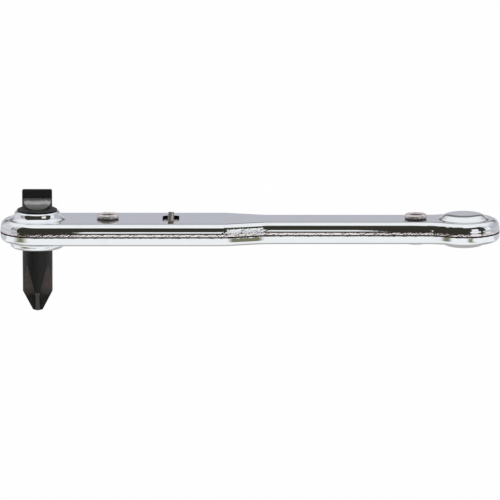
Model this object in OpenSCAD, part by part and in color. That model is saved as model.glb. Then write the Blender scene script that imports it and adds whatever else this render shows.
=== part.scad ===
// Offset ratcheting screwdriver: two pressed shells riveted round a reversible ratchet,
// with a double-ended bit across the head. Millimetres.
// The origin is on the bit's axis, where the shank leaves the lower shell.
// +X runs to the tail, and +Z up to the slotted blade.

/* [Body] */
// Radius of the head, and half the width of the body behind it
head_r = 7.4; // [7.2:0.1:8.5]
// Radius of the round tail
tail_r = 7.2; // [6.4:0.1:8.5]
// Distance from the bit's axis to the middle of the tail
tail_x = 85.2; // [82:0.2:110]
// Width of the narrow grip
grip_w = 10.4; // [9.4:0.1:12.4]
// Distance from the bit's axis to the front corner of the waist
waist_x = 37.7; // [36:0.1:44]
// Length of the slanted waist
waist_l = 7.8; // [6:0.1:12]
// Corner radius of the waist, seen from above
waist_r = 4; // [2.2:0.1:5]
// Radius of the hollow curve between grip and tail
tail_hollow_r = 8; // [6:0.1:14]
// Thickness of the sheet
sheet = 0.8; // [0.7:0.05:0.9]
// Depth of the upper shell
upper_depth = 2.45; // [2.3:0.05:3.5]
// Depth of the lower shell
lower_depth = 1.95; // [1.9:0.05:3]
// Rounding of the outer edges of the shells
edge_r = 1; // [0.6:0.05:1.3]
// Rounding inside the shells
inner_r = 0.25; // [0.15:0.05:0.4]

/* [Head bosses] */
// Radius of the collar on the upper shell
collar_r = 4.6; // [4.4:0.05:5.2]
// Height of the collar above the upper face
collar_h = 1.6; // [1.2:0.05:2.4]
// Rounding of the collar's rim
collar_rim_r = 0.6; // [0.4:0.05:0.75]
// Fillet at the foot of the collar
collar_foot_r = 0.4; // [0.15:0.05:0.4]
// Radius of the dish under the lower shell
dish_r = 5.45; // [5.2:0.05:6]
// Height of the dish below the lower face
dish_h = 1.8; // [1.7:0.05:2.4]
// Rounding of the dish's edge
dish_edge_r = 0.6; // [0.2:0.05:0.6]
// Rise of the dish's underside from the bore to its edge
dish_rise = 0.35; // [0.2:0.05:0.45]

/* [Tail domes] */
// Radius of the domes at their foot
dome_r = 4.8; // [4:0.1:5.2]
// Height of the upper dome
upper_dome_h = 1; // [0.8:0.05:1.8]
// Height of the lower dome
lower_dome_h = 1.1; // [0.8:0.05:1.8]

/* [Driver bit] */
// Diameter of the round bar
bit_d = 6; // [5.8:0.1:6.2]
// How much the journal inside the head stands out from the bar, at each side
journal_step = 0.18; // [0.16:0.02:0.3]
// Diameter of the flange over the collar
flange_d = 8; // [7.4:0.1:8.6]
// Thickness of the flange at its edge
flange_t = 0.25; // [0.15:0.05:0.5]
// Height of the flange's conical top
flange_cone_h = 0.45; // [0.2:0.05:0.8]
// Length of the blade above the flange
blade_l = 4; // [3.9:0.1:7]
// Thickness of the blade at its tip
blade_t = 1; // [0.8:0.05:1.2]
// Length of the parallel tip
blade_tip_l = 1.65; // [1:0.05:1.8]
// Length of the hollow ground stretch below the tip
blade_grind_l = 1.95; // [1.6:0.05:2]
// Radius of the grinding wheel's hollow
blade_grind_r = 4; // [3:0.1:8]
// Rounding of the blade's corners
blade_corner_r = 0.3; // [0.1:0.05:0.5]
// Length of the round shank below the head
shank_l = 8.5; // [7:0.1:14]
// Length of the cone at the cross point
cone_l = 3.8; // [3.6:0.1:5]
// Radius of the cross point at its end
point_r = 1; // [0.8:0.05:1.2]
// Height of the blunt cone at the very end
nub_h = 0.3; // [0.1:0.05:0.4]
// Distance from the head to the start of the flutes
flute_x = 2.9; // [2.5:0.1:4]
// Share of the flutes' length over which they run in to their full depth
flute_run_share = 0.64; // [0.5:0.02:0.8]
// How much the bar tapers in beside the flutes, at each side
flute_draft = 0.03; // [0.02:0.01:0.1]
// Distance from the axis to the bottom of a flute at its full depth
flute_core_r = 0.57; // [0.45:0.01:0.7]

/* [Ratchet] */
// Number of teeth
teeth = 24; // [24:12:36]
// Outside radius of the gear
gear_r = 4.8; // [4.7:0.05:5]
// Height of a tooth
tooth_h = 0.6; // [0.5:0.05:0.65]
// Thickness of the thrust washer
washer_t = 0.3; // [0.2:0.05:0.4]
// Outside radius of the thrust washer
washer_r = 4.4; // [4:0.1:4.6]
// Thickness of the retaining ring
ring_t = 0.45; // [0.3:0.05:0.5]
// Outside radius of the retaining ring
ring_r = 3.8; // [3.5:0.1:4.2]
// Depth of the ring's groove in the bit
ring_groove = 0.4; // [0.3:0.05:0.6]
// Opening of the retaining ring
ring_gap_w = 2.4; // [1.6:0.1:3]
// Width of the drive key
key_w = 1.4; // [1:0.1:1.6]
// Depth of the key's seat in the bit
key_seat = 0.7; // [0.5:0.05:0.9]
// Height of the key above the bit
key_h = 0.55; // [0.4:0.05:0.6]
// Length of the key
key_l = 1.8; // [1.4:0.1:2]

/* [Pawl] */
// Distance from the bit's axis to the front rivet, where the pawl turns
pivot_x = 14.1; // [13.6:0.1:15]
// Radius of the pawl's eye
eye_r = 2.9; // [2.6:0.1:3.2]
// How far a claw reaches into a gap of the gear
claw_bite = 0.35; // [0.3:0.01:0.4]
// How far a claw travels from the middle place to the gear
claw_travel = 0.48; // [0.45:0.01:0.6]
// Thickness of a pawl arm behind its claw
arm_w = 0.95; // [0.8:0.05:1.1]
// Length of the pawl's tail
pawl_tail_l = 4.2; // [3.9:0.1:4.4]
// Width of the pawl's tail
pawl_tail_w = 1.8; // [1.4:0.1:2.4]
// Diameter of the wire tail
wire_d = 0.5; // [0.4:0.05:0.6]
// Depth of the wire in the pawl
wire_seat_l = 1; // [0.8:0.1:1.1]
// Distance from the pivot to the wire's bent end
wire_x = 8.4; // [8:0.1:8.8]

/* [Selector] */
// Distance from the bit's axis to the middle of the slot
slot_x = 26.7; // [26:0.1:28]
// Length of the slot along the body
slot_l = 3.3; // [3.2:0.1:4]
// Width of the slot across the body
slot_w = 6.6; // [5.4:0.1:7]
// Travel of the selector to each side of its middle place
selector_travel = 1; // [0.8:0.05:1]
// Thickness of the thumb bar along the body
bar_l = 1.16; // [0.9:0.02:1.6]
// Width of the thumb bar across the body
bar_w = 9; // [7.6:0.1:10]
// Height of the thumb bar
bar_h = 0.5; // [0.3:0.05:1]
// Thickness of the neck in the slot, along the body
neck_l = 1.1; // [0.8:0.05:1.2]
// Width of the neck across the body
neck_w = 3.6; // [2.4:0.1:4]
// Thickness of the slide
plate_t = 0.8; // [0.6:0.05:0.9]
// Length of the slide in front of the wire's end
plate_front_l = 2.2; // [2:0.1:2.3]
// Length of the slide behind the slot's middle
plate_back_l = 3; // [2:0.1:5]
// Thickness of the leaf spring
leaf_t = 0.2; // [0.15:0.05:0.25]
// Width of the leaf spring
leaf_w = 4.6; // [3.6:0.1:6]
// Distance from the pivot to the start of the leaf's bow
leaf_bow_x = 9.6; // [9.4:0.1:11]
// Length of the leaf's bow
leaf_bow_l = 8.4; // [7:0.1:10]

/* [Rivets] */
// Distance from the bit's axis to the rear rivet
rear_rivet_x = 75.6; // [70:0.1:76]
// Diameter of the rivets' shanks
rivet_d = 2.5; // [2:0.1:2.8]
// Diameter of the rivets' heads
rivet_head_d = 4.5; // [4.2:0.1:5]
// Height of the upper heads
upper_head_h = 0.95; // [0.7:0.05:1.3]
// Height of the lower heads
lower_head_h = 0.6; // [0.55:0.05:1]
// Diameter of the dish in the upper heads
rivet_dish_d = 2.9; // [2.2:0.1:3.2]
// Depth of the dish in the upper heads
rivet_dish_h = 0.5; // [0.2:0.05:0.5]
// Rounding of the heads' edges
rivet_edge_r = 0.4; // [0.2:0.05:0.5]
// Outside radius of the distance sleeves
sleeve_r = 1.9; // [1.7:0.05:2.1]

/* [Clearances] */
// Play of the journal in its bores, at each side
bit_play = 0.05; // [0.02:0.01:0.09]
// Play between sliding and turning faces
slide_play = 0.05; // [0.02:0.01:0.08]
// Gap between seated faces
seat_gap = 0.01; // [0.005:0.005:0.02]
// Gap between the gear and the inside of the shells
gear_gap = 0.15; // [0.1:0.05:0.2]
// Gap between the gear's hub and the wall of the dish
hub_gap = 0.45; // [0.3:0.05:0.6]

/* [Hidden] */
$fn = 96;

// How far a cut runs past the face that it opens
overrun = 0.1;

// Heights of the faces of the body
low_face_z = dish_h;
seam_z = low_face_z + lower_depth;
top_face_z = seam_z + upper_depth;
floor_z = low_face_z + sheet;
ceiling_z = top_face_z - sheet;
collar_top_z = top_face_z + collar_h;
dish_floor_z = dish_rise + sheet;

// Radii that pieces share
bit_r = bit_d / 2;
journal_r = bit_r + journal_step;
bore_r = journal_r + bit_play;
rivet_r = rivet_d / 2;
wire_r = wire_d / 2;
hub_r = dish_r - sheet - hub_gap;

// Heights of the pieces inside
washer_z = ceiling_z - slide_play - washer_t;
gear_top_z = washer_z - slide_play;
gear_low_z = floor_z + gear_gap;
ring_z = dish_floor_z + gear_gap;
hub_z = ring_z + ring_t + slide_play;
plate_z = ceiling_z - slide_play - plate_t;
wire_z = plate_z - 2 * slide_play - wire_r;
pawl_z = floor_z + leaf_t + 2 * slide_play;
pawl_t = ceiling_z - slide_play - pawl_z;
key_z = (gear_low_z + gear_top_z - key_l) / 2;

// Heights on the bit
flange_z = collar_top_z + slide_play;
cone_z = flange_z + flange_t;
blade_z = cone_z + blade_l;
grind_top_z = blade_z - blade_tip_l;
grind_low_z = grind_top_z - blade_grind_l;
point_z = -shank_l - cone_l;
tip_z = point_z - nub_h;

// Steps of the round stretches of the outline and of the rounded edges
head_steps = 14;
tail_steps = 18;
hollow_steps = 6;
waist_steps = 2;
edge_steps = 5;
fillet_steps = 6;
dome_steps = 16;
bow_steps = 16;

// Waist and tail curves of the outline
waist_angle = atan((head_r - grip_w / 2) / waist_l);
waist_tangent = waist_r * tan(waist_angle / 2);
hollow_y = grip_w / 2 + tail_hollow_r;
hollow_dx = sqrt(pow(tail_r + tail_hollow_r, 2) - pow(hollow_y, 2));
tail_angle = atan2(hollow_y, -hollow_dx);

// A dome is flat in the middle and round at its shoulder: the exponent of its curve
dome_power = 7;

// Shares of a tooth's pitch that its tip and its foot take
tooth_tip_share = 0.3;
tooth_foot_share = 0.72;
pitch = 360 / teeth;
gear_foot_r = gear_r - tooth_h;

// Each claw bites into the gap that lies about this share of a turn from the body's middle line
claw_turn_share = 0.14;
claw_angle = (floor(claw_turn_share * teeth) + 1 / 2) * pitch;
claw_r = gear_r - claw_bite;
claw_foot_r = gear_r + gear_gap;
// Share of the pitch that a claw's tip takes
claw_tip_share = 0.285;
claw_w = claw_tip_share * gear_r * pitch * PI / 180;
// Growth of a claw's half width with its length
claw_flank_share = 0.35;
claw_foot_w = claw_w + 2 * claw_flank_share * (claw_foot_r - claw_r);
// The arms run into the eye's ring at this radius
arm_root_r = (sleeve_r + eye_r) / 2;
claw_arm = norm([claw_r * cos(claw_angle) - pivot_x, claw_r * sin(claw_angle)]);
pawl_swing = claw_travel / claw_arm * 180 / PI;

// The cam slot leans so that the wire's end follows the pawl
cam_x = pivot_x + wire_x;
cam_rise = wire_x * sin(pawl_swing);
cam_angle = atan(cam_rise / selector_travel);
cam_half_l = norm([selector_travel, cam_rise]);
cam_r = wire_r + slide_play;

// Rounding of the thumb bar's corners, as a share of its thickness
bar_corner_share = 0.25;

// Points of an arc with their outward normals, as [x, y, normal x, normal y].
// side is 1 on a bulging arc and -1 on a hollow one.
function arc(centre, r, from, to, steps, side) =
    [for (i = [0 : steps])
        let (a = from + (to - from) * i / steps)
        [centre.x + r * cos(a), centre.y + r * sin(a), side * cos(a), side * sin(a)]];

// Plain points of an arc
function arc_points(centre, r, from, to, steps) =
    [for (p = arc(centre, r, from, to, steps, 1)) [p[0], p[1]]];

function without_first(list) = [for (i = [1 : len(list) - 1]) list[i]];

// One side of the outline, from the end of the tail to the end of the head
half_outline = concat(
    arc([tail_x, 0], tail_r, 0, tail_angle, tail_steps, 1),
    without_first(arc(
        [tail_x - hollow_dx, hollow_y], tail_hollow_r, 180 + tail_angle, 270, hollow_steps, -1)),
    arc(
        [waist_x + waist_l + waist_tangent, grip_w / 2 + waist_r],
        waist_r, 270, 270 - waist_angle, waist_steps, -1),
    arc(
        [waist_x - waist_tangent, head_r - waist_r],
        waist_r, 90 - waist_angle, 90, waist_steps, 1),
    arc([0, 0], head_r, 90, 180, head_steps, 1));

// The whole outline, anticlockwise
outline = concat(
    half_outline,
    [for (i = [len(half_outline) - 2 : -1 : 1])
        let (p = half_outline[i])
        [p[0], -p[1], p[2], -p[3]]]);

// A flat face of the outline, as strips from one side to the other
half_count = len(half_outline);
face_strips = concat(
    [[0, 1, len(outline) - 1]],
    [for (i = [1 : half_count - 3]) [i, i + 1, len(outline) - i - 1, len(outline) - i]],
    [[half_count - 2, half_count - 1, half_count]]);

// The outline set in from its edge, at a height
function ring_at(inset, z) =
    [for (p = outline) [p[0] - inset * p[2], p[1] - inset * p[3], z]];

// A pan of sheet with its rim at height 0 and its face at the given depth
module pan(depth) {
    profile = concat(
        [
            [sheet + inner_r, depth - sheet],
            [sheet, depth - sheet - inner_r],
            [sheet, 0]
        ],
        [[0, 0]],
        arc_points([edge_r, depth - edge_r], edge_r, 180, 90, edge_steps));
    count = len(outline);
    last = len(profile) - 1;
    points = [for (row = profile) each ring_at(row[0], row[1])];
    walls = [for (k = [0 : last - 1], i = [0 : count - 1])
        let (j = (i + 1) % count)
        [k * count + i, (k + 1) * count + i, (k + 1) * count + j, k * count + j]];
    outer_face = [for (strip = face_strips)
        [for (i = [len(strip) - 1 : -1 : 0]) last * count + strip[i]]];
    polyhedron(points, concat(walls, face_strips, outer_face));
}

// A pressed dome that stands on height 0 and reaches down to the given depth
module dome(r, h, depth) {
    curve = [for (i = [0 : dome_steps])
        let (s = i / dome_steps)
        [r * s, h * (1 - pow(s, dome_power))]];
    rotate_extrude()
        polygon(concat(curve, [[r, -depth], [0, -depth]]));
}

// The drawn collar, still without its bore
module collar() {
    foot = arc_points(
        [collar_r + collar_foot_r, top_face_z + collar_foot_r], collar_foot_r, 270, 180, fillet_steps);
    rim = arc_points(
        [collar_r - collar_rim_r, collar_top_z - collar_rim_r], collar_rim_r, 0, 90, fillet_steps);
    rotate_extrude()
        polygon(concat(
            [[0, ceiling_z], [collar_r + collar_foot_r, ceiling_z]],
            foot, rim, [[0, collar_top_z]]));
}

// The dish under the head, still without its bore and hollow
module dish() {
    edge = arc_points(
        [dish_r - dish_edge_r, dish_rise + dish_edge_r], dish_edge_r, 0, -90, fillet_steps);
    rotate_extrude()
        polygon(concat(
            [[0, floor_z], [dish_r, floor_z]],
            edge, [[bore_r, 0], [0, 0]]));
}

// A slot with round ends, length along X
module round_slot(length, width) {
    square([length - width, width], center = true);
    for (side = [-1, 1])
        translate([side * (length - width) / 2, 0])
            circle(width / 2);
}

// A rectangle with rounded corners
module rounded_bar(length, width, corner_r) {
    square([length - 2 * corner_r, width], center = true);
    square([length, width - 2 * corner_r], center = true);
    for (sx = [-1, 1], sy = [-1, 1])
        translate([sx * (length / 2 - corner_r), sy * (width / 2 - corner_r)])
            circle(corner_r);
}

// Holes for both rivets through one sheet
module rivet_holes(z) {
    for (x = [pivot_x, rear_rivet_x])
        translate([x, 0, z - overrun])
            cylinder(r = rivet_r + seat_gap, h = sheet + 2 * overrun);
}

module upper_shell() {
    color([0.75, 0.76, 0.8])
        difference() {
            union() {
                translate([0, 0, seam_z])
                    pan(upper_depth);
                collar();
                translate([tail_x, 0, top_face_z])
                    dome(dome_r, upper_dome_h, sheet);
            }
            translate([0, 0, ceiling_z - overrun])
                cylinder(r = bore_r, h = sheet + collar_h + 2 * overrun);
            translate([tail_x, 0, ceiling_z])
                dome(dome_r - sheet, upper_dome_h, overrun);
            translate([slot_x, 0, ceiling_z - overrun])
                linear_extrude(sheet + 2 * overrun)
                    rotate(90)
                        round_slot(slot_w, slot_l);
            rivet_holes(ceiling_z);
        }
}

module lower_shell() {
    color([0.75, 0.76, 0.8])
        difference() {
            union() {
                translate([0, 0, seam_z])
                    mirror([0, 0, 1])
                        pan(lower_depth);
                dish();
                translate([tail_x, 0, low_face_z])
                    mirror([0, 0, 1])
                        dome(dome_r, lower_dome_h, sheet);
            }
            translate([0, 0, -overrun])
                cylinder(r = bore_r, h = floor_z + 2 * overrun);
            translate([0, 0, dish_floor_z])
                cylinder(r = dish_r - sheet, h = floor_z - dish_floor_z + overrun);
            translate([tail_x, 0, floor_z])
                mirror([0, 0, 1])
                    dome(dome_r - sheet, lower_dome_h, overrun);
            rivet_holes(low_face_z);
        }
}

// A rivet with a dished upper head and a plain lower head
module rivet(x) {
    cap_r = rivet_head_d / 2;
    rim_z = top_face_z + upper_head_h;
    foot_z = low_face_z - lower_head_h;
    upper = arc_points(
        [cap_r - rivet_edge_r, rim_z - rivet_edge_r], rivet_edge_r, 0, 90, fillet_steps);
    lower = arc_points(
        [cap_r - rivet_edge_r, foot_z + rivet_edge_r], rivet_edge_r, -90, 0, fillet_steps);
    color([0.78, 0.78, 0.8])
        translate([x, 0, 0])
            rotate_extrude()
                polygon(concat(
                    [[0, foot_z]],
                    lower,
                    [
                        [cap_r, low_face_z], [rivet_r, low_face_z],
                        [rivet_r, top_face_z], [cap_r, top_face_z]
                    ],
                    upper,
                    [
                        [rivet_dish_d / 2, rim_z],
                        [rivet_r / 2, rim_z - rivet_dish_h], [0, rim_z - rivet_dish_h]
                    ]));
}

module front_rivet() {
    rivet(pivot_x);
}

module rear_rivet() {
    rivet(rear_rivet_x);
}

// A tube round a rivet that keeps the two shells apart
module sleeve(x) {
    color([0.55, 0.55, 0.57])
        translate([x, 0, floor_z + seat_gap])
            difference() {
                cylinder(r = sleeve_r, h = ceiling_z - floor_z - 2 * seat_gap);
                translate([0, 0, -overrun])
                    cylinder(r = rivet_r + seat_gap, h = ceiling_z - floor_z + 2 * overrun);
            }
}

module front_sleeve() {
    sleeve(pivot_x);
}

module rear_sleeve() {
    sleeve(rear_rivet_x);
}

// The bit as turned, before blade, flutes and key seat are cut
module bit_turned() {
    groove_r = journal_r - ring_groove;
    corner = arc_points(
        [bit_r - blade_corner_r, blade_z - blade_corner_r], blade_corner_r, 0, 90, fillet_steps);
    rotate_extrude()
        polygon(concat(
            [
                [0, tip_z], [point_r, point_z], [bit_r - flute_draft, -shank_l], [bit_r, -flute_x],
                [bit_r, 0], [journal_r, 0],
                [journal_r, ring_z - seat_gap], [groove_r, ring_z - seat_gap],
                [groove_r, ring_z + ring_t + seat_gap], [journal_r, ring_z + ring_t + seat_gap],
                [journal_r, flange_z], [flange_d / 2, flange_z],
                [flange_d / 2, cone_z], [bit_r, cone_z + flange_cone_h]
            ],
            corner,
            [[0, blade_z]]));
}

// What is ground off one side of the blade: the parallel tip and the hollow below it
module blade_cut() {
    // The wheel's axis lies on the outer side of the chord of the hollow
    half_t = blade_t / 2;
    chord = [bit_r - half_t, -blade_grind_l];
    chord_l = norm(chord);
    reach = sqrt(pow(blade_grind_r, 2) - pow(chord_l / 2, 2));
    wheel_y = half_t + chord.x / 2 - reach * chord.y / chord_l;
    wheel_z = grind_top_z + chord.y / 2 + reach * chord.x / chord_l;
    cut_w = bit_d + 2 * overrun;
    translate([-cut_w / 2, half_t, grind_top_z])
        cube([cut_w, bit_r, blade_tip_l + overrun]);
    intersection() {
        translate([-cut_w / 2, wheel_y, wheel_z])
            rotate([0, 90, 0])
                cylinder(r = blade_grind_r, h = cut_w);
        translate([-cut_w / 2, half_t, grind_low_z - overrun])
            cube([cut_w, bit_r, blade_grind_l + 2 * overrun]);
    }
}

// One flute of the cross point: a right-angled wedge that leans in to its full depth
// and then runs straight to the end. Each level has a corner point and two far points.
module flute() {
    full_z = -flute_x - flute_run_share * (-tip_z - flute_x);
    levels = [[bit_r, -flute_x], [flute_core_r, full_z], [flute_core_r, tip_z - overrun]];
    polyhedron(
        points = [
            for (p = levels)
                each [[p.x, 0, p.y], [bit_d, bit_d - p.x, p.y], [bit_d, p.x - bit_d, p.y]]
        ],
        faces = [
            [0, 1, 2], [6, 8, 7],
            [1, 0, 3, 4], [4, 3, 6, 7],
            [0, 2, 5, 3], [3, 5, 8, 6],
            [2, 1, 4, 7, 8, 5]
        ]
    );
}

module driver_bit() {
    color([0.16, 0.16, 0.16])
        difference() {
            bit_turned();
            for (turn = [0, 180])
                rotate([0, 0, turn])
                    blade_cut();
            for (turn = [45 : 90 : 315])
                rotate([0, 0, turn])
                    flute();
            translate([-journal_r - overrun, -key_w / 2 - seat_gap, key_z - seat_gap])
                cube([key_seat + overrun, key_w + 2 * seat_gap, key_l + 2 * seat_gap]);
        }
}

module drive_key() {
    color([0.6, 0.6, 0.62])
        translate([-journal_r - key_h, -key_w / 2, key_z])
            cube([key_seat + key_h - seat_gap, key_w, key_l]);
}

// Corners of the tooth on the X axis, each as its radius and its angle
half_tip = pitch * tooth_tip_share / 2;
half_foot = pitch * tooth_foot_share / 2;
tooth_corners = [
    [gear_foot_r, -half_foot], [gear_r, -half_tip], [gear_r, half_tip], [gear_foot_r, half_foot]
];

// Outline of the gear
gear_outline = [for (i = [0 : teeth - 1], corner = tooth_corners)
    let (a = i * pitch + corner[1])
    corner[0] * [cos(a), sin(a)]];

module ratchet_gear() {
    color([0.45, 0.45, 0.47])
        difference() {
            union() {
                translate([0, 0, gear_low_z])
                    linear_extrude(gear_top_z - gear_low_z)
                        polygon(gear_outline);
                translate([0, 0, hub_z])
                    cylinder(r = hub_r, h = gear_top_z - hub_z);
            }
            translate([0, 0, hub_z - overrun])
                cylinder(r = journal_r + seat_gap, h = gear_top_z - hub_z + 2 * overrun);
            translate([-journal_r - key_h - seat_gap, -key_w / 2 - seat_gap, hub_z - overrun])
                cube([journal_r, key_w + 2 * seat_gap, key_z + key_l + seat_gap + overrun - hub_z]);
        }
}

module retaining_ring() {
    color([0.5, 0.5, 0.52])
        translate([0, 0, ring_z])
            difference() {
                cylinder(r = ring_r, h = ring_t);
                translate([0, 0, -overrun])
                    cylinder(r = journal_r - ring_groove + seat_gap, h = ring_t + 2 * overrun);
                translate([0, -ring_gap_w / 2, -overrun])
                    cube([ring_r + overrun, ring_gap_w, ring_t + 2 * overrun]);
            }
}

module thrust_washer() {
    color([0.7, 0.6, 0.35])
        translate([0, 0, washer_z])
            difference() {
                cylinder(r = washer_r, h = washer_t);
                translate([0, 0, -overrun])
                    cylinder(r = bore_r, h = washer_t + 2 * overrun);
            }
}

// A point of the biting claw, by its distance from the bit's axis and from the claw's middle
function claw_point(r, side) =
    r * [cos(claw_angle), sin(claw_angle)] + side * [-sin(claw_angle), cos(claw_angle)];

// Corners of the biting arm on the side of +Y, anticlockwise
arm_corners = [
    claw_point(claw_r, claw_w / 2),
    claw_point(claw_r, -claw_w / 2),
    claw_point(claw_foot_r, -claw_foot_w / 2),
    [pivot_x - arm_root_r, 0],
    [pivot_x, arm_root_r],
    claw_point(claw_foot_r + arm_w, claw_w / 2),
    claw_point(claw_foot_r, claw_foot_w / 2)
];

// One arm of the pawl in the middle place: the biting arm, turned back about the pivot.
// side is 1 for the arm on the side of +Y and -1 for the other.
module pawl_arm(side) {
    last = len(arm_corners) - 1;
    translate([pivot_x, 0])
        rotate(-side * pawl_swing)
            translate([-pivot_x, 0])
                polygon([for (i = [0 : last])
                    let (p = arm_corners[side > 0 ? i : last - i])
                    [p.x, side * p.y]]);
}

module pawl() {
    color([0.5, 0.5, 0.53])
        difference() {
            translate([0, 0, pawl_z])
                linear_extrude(pawl_t)
                    union() {
                        translate([pivot_x, 0])
                            circle(eye_r);
                        translate([pivot_x, -pawl_tail_w / 2])
                            square([pawl_tail_l, pawl_tail_w]);
                        for (side = [-1, 1])
                            pawl_arm(side);
                    }
            translate([pivot_x, 0, pawl_z - overrun])
                cylinder(r = sleeve_r + slide_play, h = pawl_t + 2 * overrun);
            translate([pivot_x + pawl_tail_l - wire_seat_l, 0, wire_z])
                rotate([0, 90, 0])
                    cylinder(r = wire_r + seat_gap, h = wire_seat_l + overrun);
        }
}

module pawl_spring() {
    start_x = pivot_x + pawl_tail_l - wire_seat_l + seat_gap;
    end_z = plate_z + plate_t;
    color([0.62, 0.62, 0.64])
        union() {
            translate([start_x, 0, wire_z])
                rotate([0, 90, 0])
                    cylinder(r = wire_r, h = cam_x - start_x);
            translate([cam_x, 0, wire_z])
                sphere(wire_r);
            translate([cam_x, 0, wire_z])
                cylinder(r = wire_r, h = end_z - wire_z);
        }
}

module selector_bar() {
    color([0.55, 0.56, 0.58])
        union() {
            translate([slot_x, 0, top_face_z + slide_play])
                linear_extrude(bar_h)
                    rounded_bar(bar_l, bar_w, bar_corner_share * bar_l);
            translate([slot_x - neck_l / 2, -neck_w / 2, plate_z])
                cube([neck_l, neck_w, top_face_z + slide_play + bar_h / 2 - plate_z]);
        }
}

module selector_plate() {
    plate_w = 2 * (head_r - sheet - inner_r - slide_play);
    front_x = cam_x - plate_front_l;
    color([0.42, 0.42, 0.44])
        translate([0, 0, plate_z])
            difference() {
                translate([front_x, -plate_w / 2, 0])
                    cube([slot_x + plate_back_l - front_x, plate_w, plate_t]);
                translate([slot_x - neck_l / 2 - seat_gap, -neck_w / 2 - seat_gap, -overrun])
                    cube([neck_l + 2 * seat_gap, neck_w + 2 * seat_gap, plate_t + 2 * overrun]);
                translate([cam_x, 0, -overrun])
                    linear_extrude(plate_t + 2 * overrun)
                        rotate(-cam_angle)
                            round_slot(2 * (cam_half_l + cam_r), 2 * cam_r);
            }
}

// A leaf that is held round the front sleeve, lies on the floor and bows up against the slide
module selector_spring() {
    bow_h = plate_z - slide_play - leaf_t - floor_z - seat_gap;
    bow_x = pivot_x + leaf_bow_x;
    low_z = floor_z + seat_gap;
    bow = [for (i = [0 : bow_steps])
        let (s = i / bow_steps)
        [bow_x + s * leaf_bow_l, low_z + bow_h * (1 - cos(360 * s)) / 2]];
    under = concat([[pivot_x, low_z]], bow);
    over = [for (i = [len(under) - 1 : -1 : 0]) under[i] + [0, leaf_t]];
    color([0.35, 0.37, 0.42])
        difference() {
            union() {
                translate([0, leaf_w / 2, 0])
                    rotate([90, 0, 0])
                        linear_extrude(leaf_w)
                            polygon(concat(under, over));
                translate([pivot_x, 0, low_z])
                    cylinder(r = eye_r, h = leaf_t);
            }
            translate([pivot_x, 0, low_z - overrun])
                cylinder(r = sleeve_r + slide_play, h = leaf_t + 2 * overrun);
        }
}

upper_shell();
lower_shell();
front_rivet();
rear_rivet();
front_sleeve();
rear_sleeve();
driver_bit();
drive_key();
ratchet_gear();
retaining_ring();
thrust_washer();
pawl();
pawl_spring();
selector_bar();
selector_plate();
selector_spring();
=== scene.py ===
"""Looks of an offset ratchet screwdriver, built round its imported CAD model.

The chrome shells, the rivets, the black bit and the thumb bar are modelled here and stand for their CAD nodes.
The pieces of the ratchet inside keep their CAD meshes and get their finishes here.
"""

import logging
import math
from dataclasses import dataclass, field
from enum import Enum, IntEnum
from typing import Any, Mapping, Optional, Sequence, Union

import bpy
import numpy as np
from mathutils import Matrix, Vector
from mathutils.geometry import tessellate_polygon


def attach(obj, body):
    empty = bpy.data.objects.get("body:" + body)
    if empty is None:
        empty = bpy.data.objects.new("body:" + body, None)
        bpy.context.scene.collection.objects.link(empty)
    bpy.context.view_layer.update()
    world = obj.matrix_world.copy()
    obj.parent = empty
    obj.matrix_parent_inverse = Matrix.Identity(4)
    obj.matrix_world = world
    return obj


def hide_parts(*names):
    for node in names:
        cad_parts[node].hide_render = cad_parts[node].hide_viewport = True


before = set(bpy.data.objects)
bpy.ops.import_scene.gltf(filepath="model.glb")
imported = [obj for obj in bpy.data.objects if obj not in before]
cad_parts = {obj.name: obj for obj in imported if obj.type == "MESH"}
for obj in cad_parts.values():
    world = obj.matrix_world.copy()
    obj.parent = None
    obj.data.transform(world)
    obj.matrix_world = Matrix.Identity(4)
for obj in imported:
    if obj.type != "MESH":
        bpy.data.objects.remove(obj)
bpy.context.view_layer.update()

LOG = logging.getLogger("screwdriver")
MM = 0.001
DEGREES = 180.0 / math.pi
TINY = 1e-6
# Places that more than one piece shares, in millimetres
RIVET_X = {"front_rivet": 14.1, "rear_rivet": 75.6}
SELECTOR_X = 26.7
# Tone of the flags and of the dark surroundings
SHADE = (0.04, 0.036, 0.028)
Colour = tuple[float, float, float]
Point = tuple[float, float, float]
Span = tuple[float, float]
Band = tuple[float, float, float]
Rows = np.ndarray
Value = Union["Wire", float]


class Body(str, Enum):
    """The bodies that the pieces made here ride on."""

    HANDLE = "handle"
    DRIVE = "drive"
    SELECTOR = "selector"


class Slot(str, Enum):
    """The record's material slots of the pieces made here."""

    CHROME = "chrome_plate"
    RIVET = "rivet_steel"
    OXIDE = "black_oxide"
    SATIN = "selector_steel"


class Half(Enum):
    """The two pressed halves, as the way in which their height is counted from the seam."""

    UPPER = 1
    LOWER = -1


class ShellFace(IntEnum):
    """Faces of a pressed half, as the places of their materials."""

    PLATE = 0
    CUT = 1


class BitFace(IntEnum):
    """Faces of the bit, as the places of their materials."""

    BAR = 0
    HOLLOW = 1
    FLUTE = 2
    POINT = 3


class BarFace(IntEnum):
    """Faces of the thumb bar, as the places of their materials."""

    TOP = 0
    RIB = 1
    SIDE = 2


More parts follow.
